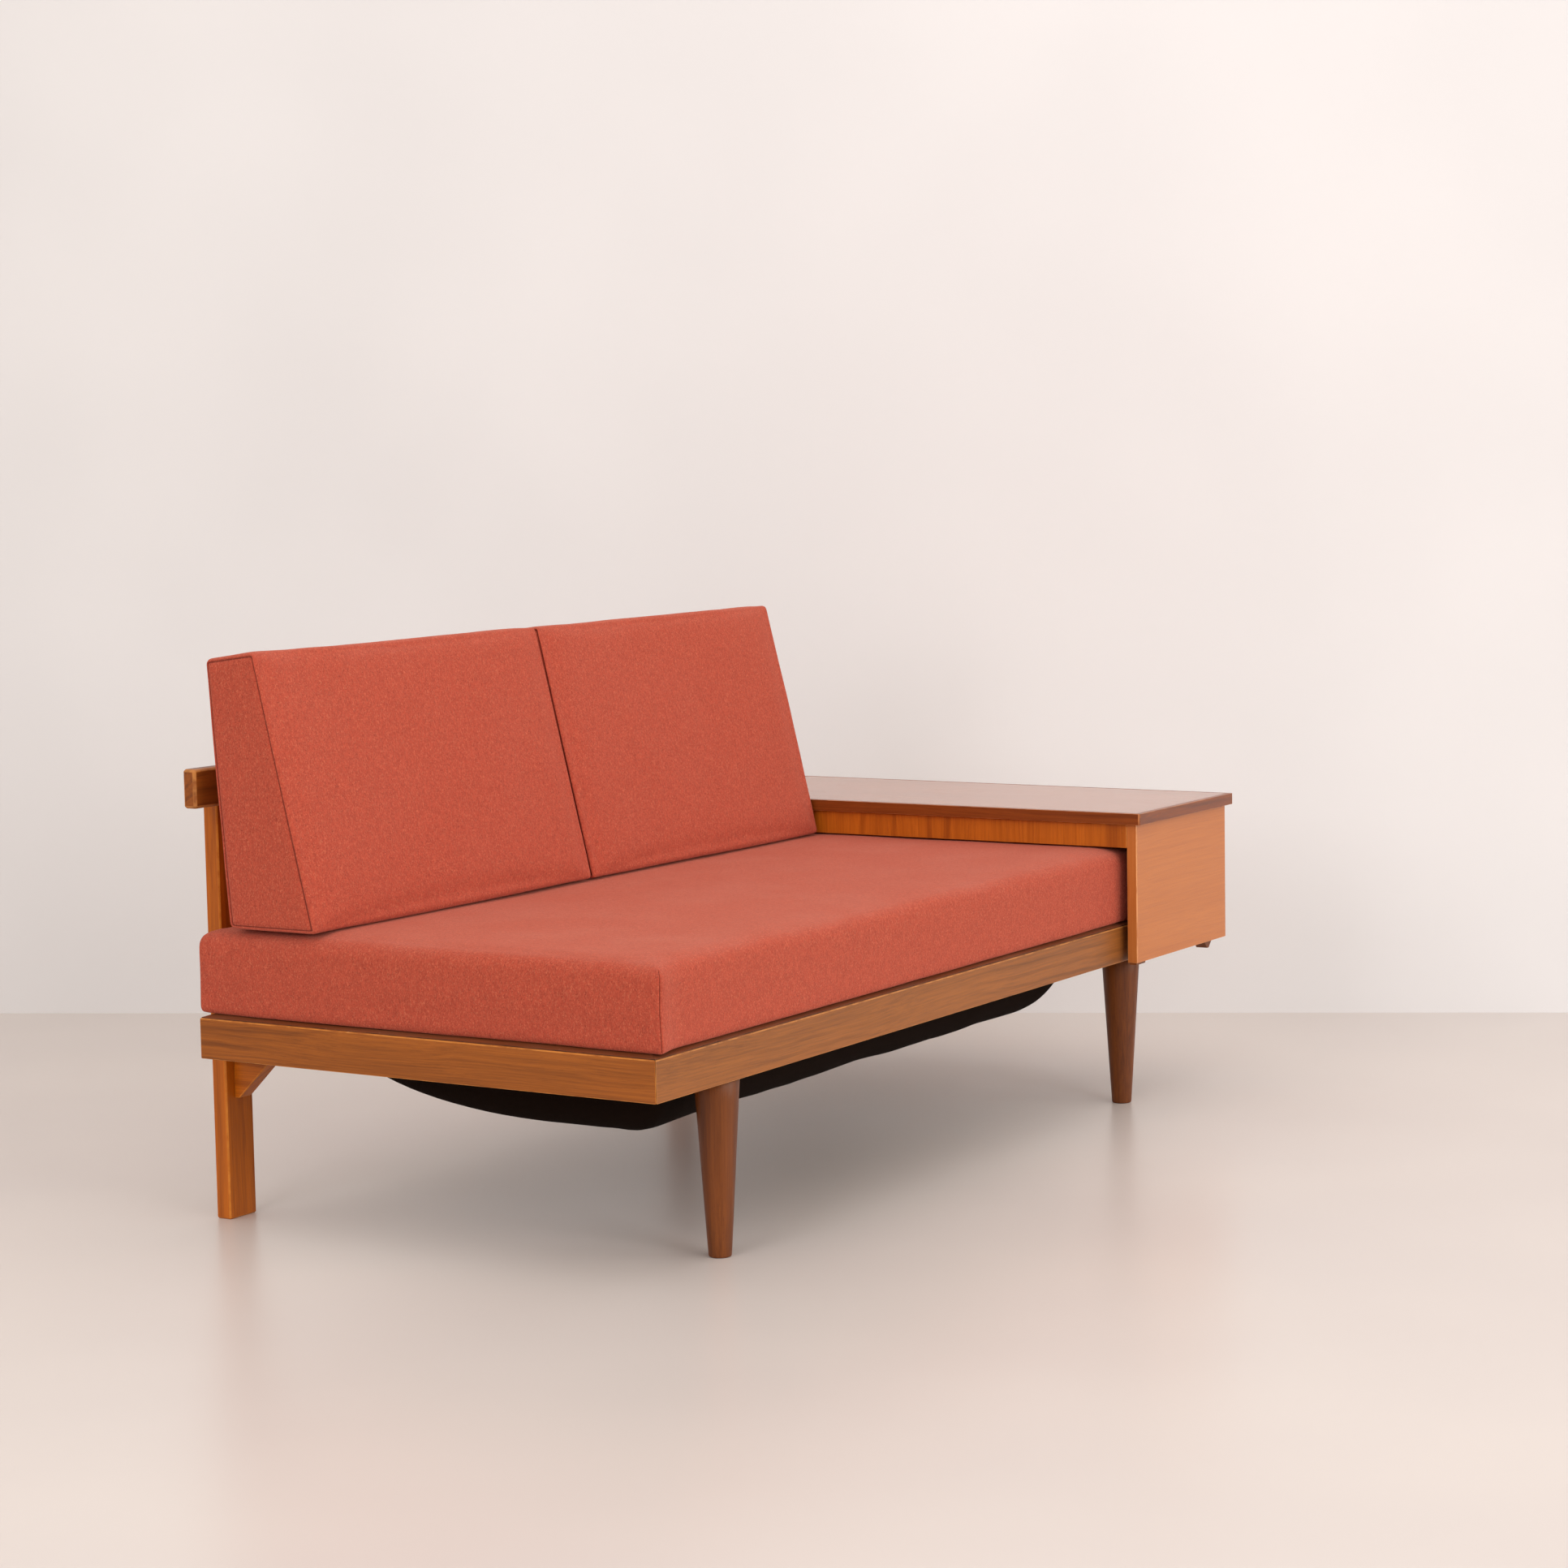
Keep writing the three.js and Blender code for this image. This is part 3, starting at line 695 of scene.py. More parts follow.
def directions(mesh: bpy.types.Mesh) -> np.ndarray:
    """The mesh's vertex normals, one row each."""
    return rows_of(mesh.vertex_normals, "vector")


def put_places(mesh: bpy.types.Mesh, points: np.ndarray) -> None:
    """Moves the mesh's vertices to these rows."""
    mesh.vertices.foreach_set("co", points.astype(np.float32).ravel())
    mesh.update()


def stamp(mesh: bpy.types.Mesh, name: str, values: np.ndarray) -> None:
    """Writes a value for each vertex, for a material to read.

    Args:
        mesh: the mesh that gets it.
        name: the attribute's name.
        values: a number or a vector for each vertex.
    """
    vector = values.ndim == 2
    kind, field = ("FLOAT_VECTOR", "vector") if vector else ("FLOAT", "value")
    attribute = mesh.attributes.get(name) or mesh.attributes.new(name, kind, "POINT")
    attribute.data.foreach_set(field, values.astype(np.float32).ravel())


LOG_PLACES = (17, 5, 7)  # how many places in the log there are, along and across
LOG_STEPS = (0.37, 0.061, 0.043)  # how far apart they are, in metres


def stamp_grain(mesh: bpy.types.Mesh, grain: Grain, board: str) -> None:
    """Lays the grain along a board, at a place in the log of its own.

    Args:
        mesh: the board's mesh.
        grain: the axis that the grain runs along.
        board: the board's name, which picks its place in the log.
    """
    order = [grain.value, (grain.value + 1) % 3, (grain.value + 2) % 3]
    seed = sum((step + 1) * ord(letter) for step, letter in enumerate(board))
    offset = np.array([seed % count for count in LOG_PLACES]) * np.array(LOG_STEPS)
    stamp(mesh, "grain", places(mesh)[:, order] + offset)


def stamp_edges(mesh: bpy.types.Mesh, narrow: float) -> None:
    """Marks the narrow faces along a board's edges, which take the edge colour of wear and painted light.

    Args:
        mesh: the board's mesh.
        narrow: the width below which a face counts as an edge.
    """
    attribute = mesh.attributes.new("edge", "FLOAT", "CORNER")
    marks = np.zeros(len(mesh.loops), np.float32)
    points = places(mesh)
    for face in mesh.polygons:
        ring = points[list(face.vertices)]
        longest = max(np.linalg.norm(ring - np.roll(ring, 1, axis=0), axis=1).max(), SAME)
        if face.area / longest < narrow:
            marks[list(face.loop_indices)] = 1.0
    attribute.data.foreach_set("value", marks)


def applied(piece: bpy.types.Object) -> bpy.types.Object:
    """Applies a piece's modifiers to its mesh.

    Args:
        piece: the piece.

    Returns:
        The same piece, with no modifier left.
    """
    bpy.context.view_layer.update()
    graph = bpy.context.evaluated_depsgraph_get()
    done = piece.evaluated_get(graph)
    mesh = bpy.data.meshes.new_from_object(done, preserve_all_data_layers=True, depsgraph=graph)
    piece.modifiers.clear()
    piece.data = mesh
    return piece


@dataclass(frozen=True)
class Edges:
    """How a board's edges are eased."""

    width: float = 0.8 * MM
    steps: int = 2
    angle: float = math.radians(25)
    narrow: float = 4.5 * MM
    turn: float = math.radians(38)
    evenness: int = 90

    def ease(self, piece: bpy.types.Object) -> bpy.types.Object:
        """Rounds a board's edges and keeps its faces flat to the light.

        Args:
            piece: the board.

        Returns:
            The same piece.
        """
        rounding = piece.modifiers.new("rounding", "BEVEL")
        rounding.width = self.width
        rounding.segments = self.steps
        rounding.limit_method = "ANGLE"
        rounding.angle_limit = self.angle
        rounding.use_clamp_overlap = True
        applied(piece)
        mesh = piece.data
        mesh.shade_smooth()
        mesh.set_sharp_from_angle(angle=self.turn)
        even = piece.modifiers.new("even", "WEIGHTED_NORMAL")
        even.keep_sharp = True
        even.weight = self.evenness
        applied(piece)
        stamp_edges(piece.data, self.narrow)
        return piece


def cleaned(mesh: bpy.types.Mesh) -> bpy.types.Mesh:
    """Joins a CAD mesh's doubled corners and flat triangles into whole faces, and drops its normals.

    Args:
        mesh: the mesh, which is changed.

    Returns:
        The same mesh.
    """
    work = bmesh.new()
    work.from_mesh(mesh)
    bmesh.ops.remove_doubles(work, verts=work.verts, dist=SAME)
    flat = math.radians(0.6)
    bmesh.ops.dissolve_limit(work, angle_limit=flat, verts=work.verts, edges=work.edges)
    bmesh.ops.recalc_face_normals(work, faces=work.faces)
    for layer in list(work.loops.layers.float_vector.values()):
        work.loops.layers.float_vector.remove(layer)
    work.to_mesh(mesh)
    work.free()
    normals = mesh.attributes.get("custom_normal")
    if normals:
        mesh.attributes.remove(normals)
    return mesh


def plan(low: Vector, high: Vector, inset: float = 0.0) -> list[tuple[float, float]]:
    """The four corners of a rectangle, anticlockwise from above, from the front left one.

    Args:
        low: its lowest corner.
        high: its highest corner.
        inset: how far in from its sides the corners lie.

    Returns:
        The corners.
    """
    left, front = low.x + inset, low.y + inset
    right, back = high.x - inset, high.y - inset
    return [(left, front), (right, front), (right, back), (left, back)]


def prism(name: str, outline: Sequence[tuple[float, float]], low: float, high: float) -> bpy.types.Object:
    """Makes an upright prism.

    Args:
        name: the piece's name.
        outline: its plan, anticlockwise from above.
        low: its lower level.
        high: its upper level.

    Returns:
        The new piece.
    """
    count = len(outline)
    points = [(x, y, z) for z in (low, high) for x, y in outline]
    sides = [(i, (i + 1) % count, (i + 1) % count + count, i + count) for i in range(count)]
    ends = [tuple(reversed(range(count))), tuple(range(count, 2 * count))]
    return new_piece(name, mesh_of(name, points, sides + ends))


def block(name: str, low: Vector, high: Vector) -> bpy.types.Object:
    """Makes a plain board between two corners, for its edges to be eased."""
    return prism(name, plan(low, high), low.z, high.z)


def turned(name: str, profile: Sequence[tuple[float, float]], sides: int) -> bpy.types.Object:
    """Turns a profile about the Z axis into a closed piece.

    Args:
        name: the piece's name.
        profile: radius and height of each point, from the bottom up, off the axis.
        sides: how many sides it is turned with.

    Returns:
        The new piece, standing on its axis at the origin.
    """
    angles = [2 * math.pi * side / sides for side in range(sides)]
    points = [(r * math.cos(a), r * math.sin(a), z) for r, z in profile for a in angles]
    faces = [
        (row * sides + i, row * sides + (i + 1) % sides,
         (row + 1) * sides + (i + 1) % sides, (row + 1) * sides + i)
        for row in range(len(profile) - 1)
        for i in range(sides)
    ]
    top = (len(profile) - 1) * sides
    faces += [tuple(reversed(range(sides))), tuple(range(top, top + sides))]
    return new_piece(name, mesh_of(name, points, faces))


def joined(name: str, pieces: Sequence[bpy.types.Object]) -> bpy.types.Object:
    """Joins small like pieces into one.

    Args:
        name: the joined piece's name.
        pieces: the pieces, which are used up.

    Returns:
        The joined piece.
    """
    work = bmesh.new()
    for piece in pieces:
        piece.data.transform(piece.matrix_world)
        work.from_mesh(piece.data)
        bpy.data.objects.remove(piece)
    mesh = bpy.data.meshes.new(name)
    work.to_mesh(mesh)
    work.free()
    mesh.shade_smooth()
    mesh.set_sharp_from_angle(angle=math.radians(40))
    return new_piece(name, mesh)


@dataclass(frozen=True)
class Screw:
    """A countersunk wood screw's head, with its slot."""

    radius: float = 3.6 * MM
    rise: float = 0.6 * MM
    slot_width: float = 0.9 * MM
    slot_depth: float = 0.5 * MM
    crown: tuple[float, float] = (0.93, 0.96)
    sides: int = 20
    first_turn: float = 0.7
    next_turn: float = 1.9

    def head(self, at: Point, out: Point, turn: float) -> bpy.types.Object:
        """Makes one head.

        Args:
            at: the middle of the head's seat.
            out: the direction that it faces.
            turn: how far round its slot stands.

        Returns:
            The head.
        """
        half = self.slot_width / 2
        reach = math.sqrt(self.radius**2 - half**2)
        start = math.asin(half / self.radius)
        along, across = self.crown
        points: list[Point] = []
        faces: list[tuple[int, ...]] = []
        for side in (1, -1):
            first = len(points)
            arc = [start + (math.pi - 2 * start) * i / self.sides for i in range(self.sides + 1)]
            rim = [(self.radius * math.cos(a), side * self.radius * math.sin(a)) for a in arc]
            points += [(x, y, 0.0) for x, y in rim]
            points += [(x * along, y * across, self.rise) for x, y in rim]
            count = len(rim)
            loops = [tuple(range(first + count, first + 2 * count))]
            loops += [(first + i, first + i + 1, first + count + i + 1, first + count + i)
                      for i in range(count - 1)]
            loops.append((first + count - 1, first, first + count, first + 2 * count - 1))
            loops.append(tuple(reversed(range(first, first + count))))
            faces += loops if side > 0 else [tuple(reversed(loop)) for loop in loops]
        floor = self.rise - self.slot_depth
        first = len(points)
        strip = [(-reach, -half), (reach, -half), (reach, half), (-reach, half)]
        points += [(x * along, y, z) for z in (0.0, floor) for x, y in strip]
        for quad in ((0, 3, 2, 1), (4, 5, 6, 7), (0, 1, 5, 4), (1, 2, 6, 5), (2, 3, 7, 6), (3, 0, 4, 7)):
            faces.append(tuple(first + corner for corner in quad))
        piece = new_piece("screw", mesh_of("screw", points, faces))
        facing = Vector(out).to_track_quat("Z", "Y").to_matrix().to_4x4()
        piece.matrix_world = Matrix.Translation(at) @ facing @ Matrix.Rotation(turn, 4, "Z")
        bpy.context.view_layer.update()
        return piece

    def row(self, name: str, seats: Sequence[tuple[Point, Point]]) -> bpy.types.Object:
        """Makes several heads as one piece, each slot turned its own way.

        Args:
            name: the piece's name.
            seats: where each head sits and the way it faces.

        Returns:
            The joined piece.
        """
        heads = [
            self.head(at, out, self.first_turn + self.next_turn * step)
            for step, (at, out) in enumerate(seats)
        ]
        return joined(name, heads)


# ----------------------------------------------------------------------------------------------
# Sub-assemblies
# ----------------------------------------------------------------------------------------------


@dataclass
class SubAssembly:
    """What every sub-assembly shares: the body it rides on, and how it keeps a piece."""

    body: str

    def keep(self, piece: bpy.types.Object, finish: Finish, *nodes: str) -> bpy.types.Object:
        """Dresses a piece, sets it on the body and hides the CAD nodes that it replaces.

        Args:
            piece: the finished piece.
            finish: its finish.
            *nodes: the CAD nodes that it replaces.

        Returns:
            The same piece.
        """
        piece.data.materials.clear()
        piece.data.materials.append(finish.material())
        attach(piece, self.body)
        if nodes:
            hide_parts(*nodes)
        log.info("%s: %d faces, %s", piece.name, len(piece.data.polygons), finish.name)
        return piece

    def board(
        self,
        piece: bpy.types.Object,
        grain: Grain,
        finish: WoodFinish,
        edges: Edges,
        place: str,
        *nodes: str,
    ) -> None:
        """Eases a board's edges, lays its grain and keeps it.

        Args:
            piece: the board.
            grain: the axis that its grain runs along.
            finish: its finish.
            edges: how its edges are eased.
            place: the name that picks its place in the log.
            *nodes: the CAD nodes that it replaces.
        """
        edges.ease(piece)
        stamp_grain(piece.data, grain, place)
        self.keep(piece, finish, *nodes)

    def boards(
        self, nodes: Iterable[str], grain: Grain, finish: WoodFinish, edges: Edges = Edges()
    ) -> None:
        """Makes and keeps the finished form of several boards.

        Args:
            nodes: the CAD nodes.
            grain: the axis that their grain runs along.
            finish: their finish.
            edges: how their edges are eased.
        """
        for node in nodes:
            piece = new_piece(f"{node}_wood", cleaned(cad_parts[node].data.copy()))
            self.board(piece, grain, finish, edges, node, node)

    def plated(self, nodes: Iterable[str], finish: MetalFinish) -> None:
        """Gives CAD fasteners, whose shape is right, their plated finish.

        Args:
            nodes: the CAD nodes.
            finish: their finish.
        """
        for node in nodes:
            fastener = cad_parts[node]
            fastener.data.materials.clear()
            fastener.data.materials.append(finish.material())
            log.info("%s: kept, %s", node, finish.name)


@dataclass
class BedBase(SubAssembly):
    """The rails, slats and blocks that carry the mattress."""

    rail_edges: Edges = Edges(width=1.2 * MM, steps=3)
    slat_edges: Edges = Edges(width=1.0 * MM, steps=2)
    slats: int = 12
    slope: float = 15 * MM
    slope_rise: float = 5.5 * MM
    bead_inset: float = 2.0 * MM
    bead_rise: float = 0.9 * MM
    bead_gap: float = 0.4 * MM
    bead_sink: float = 0.1 * MM
    bead_edges: Edges = Edges(width=0.2 * MM, steps=1, narrow=1.3 * MM)

    def bead(self) -> None:
        """Makes the bead on the sloping top of the rails, mitred at each corner. Its dark brown includes
        painted shade from the mattress above, and its near-black edges are a painted shadow line along its
        foot.
        """
        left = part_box("left_end_rail")[0].x
        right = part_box("right_end_rail")[1].x
        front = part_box("front_rail")[0].y
        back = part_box("rear_rail")[1].y
        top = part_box("front_rail")[1].z
        outer, inner = self.bead_inset, self.slope - self.bead_gap
        foot = top - self.slope_rise * (1 - outer / self.slope)
        section = [
            (outer, foot - self.bead_sink),
            (inner, top - self.bead_gap),
            (inner, top),
            (outer, foot + self.bead_rise),
        ]
        corners = [(left, front, 1, 1), (right, front, -1, 1), (right, back, -1, -1), (left, back, 1, -1)]
        names = ("front", "right", "rear", "left")
        for side, name in enumerate(names):
            ends = (corners[side], corners[(side + 1) % 4])
            points = [(x + dx * d, y + dy * d, z) for x, y, dx, dy in ends for d, z in section]
            faces = [(i, i + 4, (i + 1) % 4 + 4, (i + 1) % 4) for i in range(4)]
            faces += [(0, 1, 2, 3), (7, 6, 5, 4)]
            piece = new_piece(f"rail_bead_{name}", mesh_of("bead", points, faces))
            grain = Grain.Y if side % 2 else Grain.X
            self.board(piece, grain, BEAD_TEAK_PAINTED_SHADE, self.bead_edges, piece.name)

    def build(self) -> None:
        """Makes every board of the base."""
        self.boards(("front_rail", "rear_rail"), Grain.X, RAIL_TEAK, self.rail_edges)
        self.boards(("left_end_rail", "right_end_rail"), Grain.Y, END_TEAK, self.rail_edges)
        corners = ("front_left", "front_right", "rear_right", "rear_left")
        self.boards([f"corner_block_{corner}" for corner in corners], Grain.Z, BEECH)
        self.boards(("front_ledge", "rear_ledge"), Grain.X, BEECH)
        names = [f"slat_{number:02d}" for number in range(1, self.slats + 1)]
        self.boards(names, Grain.Y, BEECH, self.slat_edges)
        self.boards(("runner_bridge",), Grain.Y, BEECH)
        self.bead()


@dataclass
class FrontLegs(SubAssembly):
    """Two turned legs, each screwed up into a block behind the front rail."""

    foot_share: float = 15.5 / 30.5
    foot_round: float = 2.5 * MM
    foot_steps: int = 5
    rows: int = 8
    shoulder: float = 0.8 * MM
    sides: int = 64
    crease: float = math.radians(50)
    screw_inset: float = 12 * MM

    def leg(self, side: str) -> None:
        """Turns one leg.

        Args:
            side: left or right.
        """
        node = f"front_leg_{side}"
        low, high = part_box(node)
        top = (high.x - low.x) / 2
        foot = top * self.foot_share
        quarter = [math.pi / 2 * step / self.foot_steps for step in range(self.foot_steps + 1)]
        profile = [
            (foot - self.foot_round * (1 - math.sin(a)), self.foot_round * (1 - math.cos(a)))
            for a in quarter
        ]
        height = high.z - low.z
        for row in range(1, self.rows):
            share = row / self.rows
            profile.append((foot + (top - foot) * share, height * share))
        profile += [(top, height - self.shoulder), (top - self.shoulder, height)]
        piece = turned(f"{node}_wood", profile, self.sides)
        middle = (low + high) / 2
        piece.data.transform(Matrix.Translation((middle.x, middle.y, low.z)))
        piece.data.shade_smooth()
        piece.data.set_sharp_from_angle(angle=self.crease)
        stamp_grain(piece.data, Grain.Z, node)
        self.keep(piece, LEG_TEAK, node)

    def screws(self, side: str) -> None:
        """Sets a screw near each corner of a leg's block, from below.

        Args:
            side: left or right.
        """
        low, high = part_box(f"leg_block_{side}")
        inset = self.screw_inset
        down = (0.0, 0.0, -1.0)
        spots = [
            ((x, y, low.z), down)
            for x in (low.x + inset, high.x - inset)
            for y in (low.y + inset, high.y - inset)
        ]
        self.keep(Screw().row(f"leg_block_screws_{side}", spots), STEEL)

    def build(self) -> None:
        """Makes both legs, their blocks, studs and screws."""
        for side in ("left", "right"):
            self.leg(side)
            self.screws(side)
        self.boards(("leg_block_left", "leg_block_right"), Grain.X, BEECH)
        self.plated(("leg_stud_left", "leg_stud_right"), STEEL)


@dataclass
class BackFrame(SubAssembly):
    """The rear posts, their braces, and the rail that the cushions lean on."""

    edges: Edges = Edges(width=1.6 * MM, steps=3)
    rail_edges: Edges = Edges(width=2.0 * MM, steps=3)

    def build(self) -> None:
        """Makes the posts, spacers, braces, rail and bolts."""
        sides = ("left", "right")
        self.boards([f"rear_post_{side}" for side in sides], Grain.Z, POST_TEAK, self.edges)
        self.boards([f"post_bracket_{side}" for side in sides], Grain.Y, POST_TEAK, self.edges)
        self.boards([f"post_spacer_{side}" for side in sides], Grain.Z, POST_TEAK)
        self.boards(("back_rail",), Grain.X, BACK_TEAK, self.rail_edges)
        levels = ("lower", "upper")
        bolts = [f"post_bolt_{side}_{level}" for side in sides for level in levels]
        self.plated(bolts, STEEL)


# ----------------------------------------------------------------------------------------------
# Soft goods
# ----------------------------------------------------------------------------------------------


def simulated(piece: bpy.types.Object, cloth: bpy.types.Modifier, frames: int) -> np.ndarray:
    """Runs a piece's cloth and takes it off again.

    Args:
        piece: the piece, which has no other modifier.
        cloth: its cloth, already set up.
        frames: how long it runs.

    Returns:
        How far each point moved.
    """
    cloth.point_cache.frame_start = 1
    cloth.point_cache.frame_end = frames
    scene = bpy.context.scene
    for step in range(1, frames + 1):
        scene.frame_set(step)
    done = piece.evaluated_get(bpy.context.evaluated_depsgraph_get())
    moved = places(done.data) - places(piece.data)
    piece.modifiers.clear()
    piece.vertex_groups.clear()
    scene.frame_set(1)
    return moved


def capped(moved: np.ndarray, cap: float) -> np.ndarray:
    """Draws each point's movement in, smoothly, so that none passes the cap."""
    length = np.maximum(np.linalg.norm(moved, axis=1, keepdims=True), TINY)
    return moved / length * cap * np.tanh(length / cap)


@dataclass(frozen=True)
class Swell:
    """How far filling pushes the cloth panels out between their seams."""

    cap: float
    pressure: float = 4.0
    frames: int = 20
    mass: float = 0.3
    stiffness: float = 15.0

    def run(self, piece: bpy.types.Object, held: np.ndarray) -> None:
        """Blows a closed piece up with the cloth solver and keeps the result.

        Args:
            piece: the piece, which has no modifier of its own.
            held: for each vertex, how firmly its seam holds it, 0 to 1.
        """
        rest = places(piece.data)
        group = piece.vertex_groups.new(name="held")
        for index in np.nonzero(held > 0)[0]:
            group.add([int(index)], float(held[index]), "REPLACE")
        cloth = piece.modifiers.new("filling", "CLOTH")
        settings = cloth.settings
        settings.use_pressure = True
        settings.uniform_pressure_force = self.pressure
        settings.effector_weights.gravity = 0.0
        settings.mass = self.mass
        settings.tension_stiffness = self.stiffness
        settings.compression_stiffness = self.stiffness
        settings.vertex_group_mass = group.name
        moved = simulated(piece, cloth, self.frames)
        outward = directions(piece.data)
        inward = np.minimum((moved * outward).sum(axis=1, keepdims=True), 0)
        put_places(piece.data, rest + capped(moved - outward * inward, self.cap))


@dataclass
class SewnBlock:
    """A block of sewn panels: a grid over the six sides of a box with rounded edges."""

    lengths: Vector
    low_round: Vector
    high_round: Vector
    pitch: float
    squareness: float = 2.0
    edge_steps: tuple[float, ...] = (1.6 * MM, 4 * MM, 8 * MM, 14 * MM, 22 * MM)

    def stations(self, length: float) -> np.ndarray:
        """Where the grid's lines cross one axis, close together near its ends.

        Args:
            length: the box's length along the axis.

        Returns:
            The places, from 0 to the length.
        """
        near = np.array([0.0, *self.edge_steps])
        inner = length - 2 * near[-1]
        count = max(2, round(inner / self.pitch))
        middle = near[-1] + inner * np.arange(1, count) / count
        return np.concatenate([near, middle, length - near[::-1]])

    def grid(self) -> tuple[np.ndarray, np.ndarray, list[tuple[int, ...]]]:
        """Lays the grid over the box.

        Returns:
            The points, each point's three line numbers, and the faces.
        """
        lines = [self.stations(length) for length in self.lengths]
        last = [len(line) - 1 for line in lines]
        index: dict[tuple[int, int, int], int] = {}

        def corner(key: list[int]) -> int:
            """The number of the point where three lines meet."""
            return index.setdefault((key[0], key[1], key[2]), len(index))

        faces = []
        for axis in range(3):
            one, two = (axis + 1) % 3, (axis + 2) % 3
            for end in (0, last[axis]):
                for a in range(last[one]):
                    for b in range(last[two]):
                        ring = []
                        for step_a, step_b in ((0, 0), (1, 0), (1, 1), (0, 1)):
                            key = [0, 0, 0]
                            key[axis], key[one], key[two] = end, a + step_a, b + step_b
                            ring.append(corner(key))
                        faces.append(tuple(ring) if end else tuple(reversed(ring)))
        keys = np.array(list(index))
        points = np.stack([lines[axis][keys[:, axis]] for axis in range(3)], axis=1)
        return points, keys, faces

    def rounded(self, points: np.ndarray) -> np.ndarray:
        """Rounds the box's edges.

        Args:
            points: points on the box.

        Returns:
            The same points, drawn in to the rounded edges.
        """
        size, low, high = (np.array(v) for v in (self.lengths, self.low_round, self.high_round))
        tall = points[:, 2:3] / size[2]
        reach = low * (1 - tall) + high * tall
        reach[:, 2] = np.where(points[:, 2] < size[2] / 2, low[2], high[2])
        inner = np.clip(points, reach, size - reach)
        away = (points - inner) / reach
        power = self.squareness
        level = (np.abs(away[:, :2]) ** power).sum(axis=1) ** (1 / power)
        away /= np.maximum(np.hypot(level, away[:, 2]), TINY)[:, None]
        return inner + away * reach


def rippled(points: np.ndarray, normals: np.ndarray, sizes: Sequence[tuple[float, float]]) -> np.ndarray:
    """Adds the slight unevenness of filling under cloth.

    Args:
        points: the points, one row each.
        normals: their normals.
        sizes: for each layer, its waves for each metre and its height.

    Returns:
        The moved points.
    """
    moved = points.copy()
    for waves, height in sizes:
        shift = np.array([noise.noise(Vector(point) * waves) for point in points])
        moved += normals * (shift * height)[:, None]
    return moved


def smoothed(piece: bpy.types.Object) -> bpy.types.Object:
    """Subdivides a soft piece once and shades it smooth.

    Args:
        piece: the piece.

    Returns:
        The same piece.
    """
    finer = piece.modifiers.new("finer", "SUBSURF")
    finer.levels = 1
    finer.render_levels = 1
    applied(piece)
    piece.data.shade_smooth()
    return piece


@dataclass
class SewnPiece(SubAssembly):
    """What the mattress and the cushions share: how a sewn, filled cover is made."""

    seam_depth: float = 2.4 * MM
    ridge: float = 0.5 * MM
    beside_hold: float = 0.35

    def sewn(
        self,
        name: str,
        block_shape: SewnBlock,
        shape: Callable[[np.ndarray], np.ndarray],
        seam: Callable[[np.ndarray, np.ndarray], np.ndarray],
        swell: Swell,
        ripples: Sequence[tuple[float, float]],
        limits: tuple[Vector, Vector],
    ) -> bpy.types.Object:
        """Builds a cover's panels, fills it, and draws its seams in.

        Args:
            name: the piece's name.
            block_shape: its grid.
            shape: puts the grid's points in their place on the part.
            seam: tells which points lie on a seam, from their lines and the last lines.
            swell: how the filling pushes the panels out.
            ripples: the unevenness of the filling.
            limits: the lowest and highest corner that the neighbouring pieces leave it.

        Returns:
            The new piece, not yet dressed.
        """
        points, keys, faces = block_shape.grid()
        piece = new_piece(name, mesh_of(name, shape(block_shape.rounded(points)), faces))
        mesh = piece.data
        on_seam = seam(keys, keys.max(axis=0)).astype(float)
        beside = self.next_to(mesh, on_seam)
        swell.run(piece, np.clip(on_seam + self.beside_hold * beside, 0, 1))
        moved = rippled(places(mesh), directions(mesh), ripples)
        moved += directions(mesh) * (beside * self.ridge - on_seam * self.seam_depth)[:, None]
        put_places(mesh, np.clip(moved, np.array(limits[0]), np.array(limits[1])))
        stamp(mesh, "seam", on_seam)
        return smoothed(piece)

    def next_to(self, mesh: bpy.types.Mesh, marks: np.ndarray) -> np.ndarray:
        """Marks the points that neighbour marked ones.

        Args:
            mesh: the mesh.
            marks: 1 at each marked point, otherwise 0.

        Returns:
            1 at each neighbour that isn't marked itself.
        """
        pairs = np.empty(len(mesh.edges) * 2, np.int32)
        mesh.edges.foreach_get("vertices", pairs)
        ends = pairs.reshape(-1, 2)
        beside = np.zeros(len(marks))
        beside[ends[marks[ends[:, 0]] > 0, 1]] = 1
        beside[ends[marks[ends[:, 1]] > 0, 0]] = 1
        return np.where(marks > 0, 0, beside)


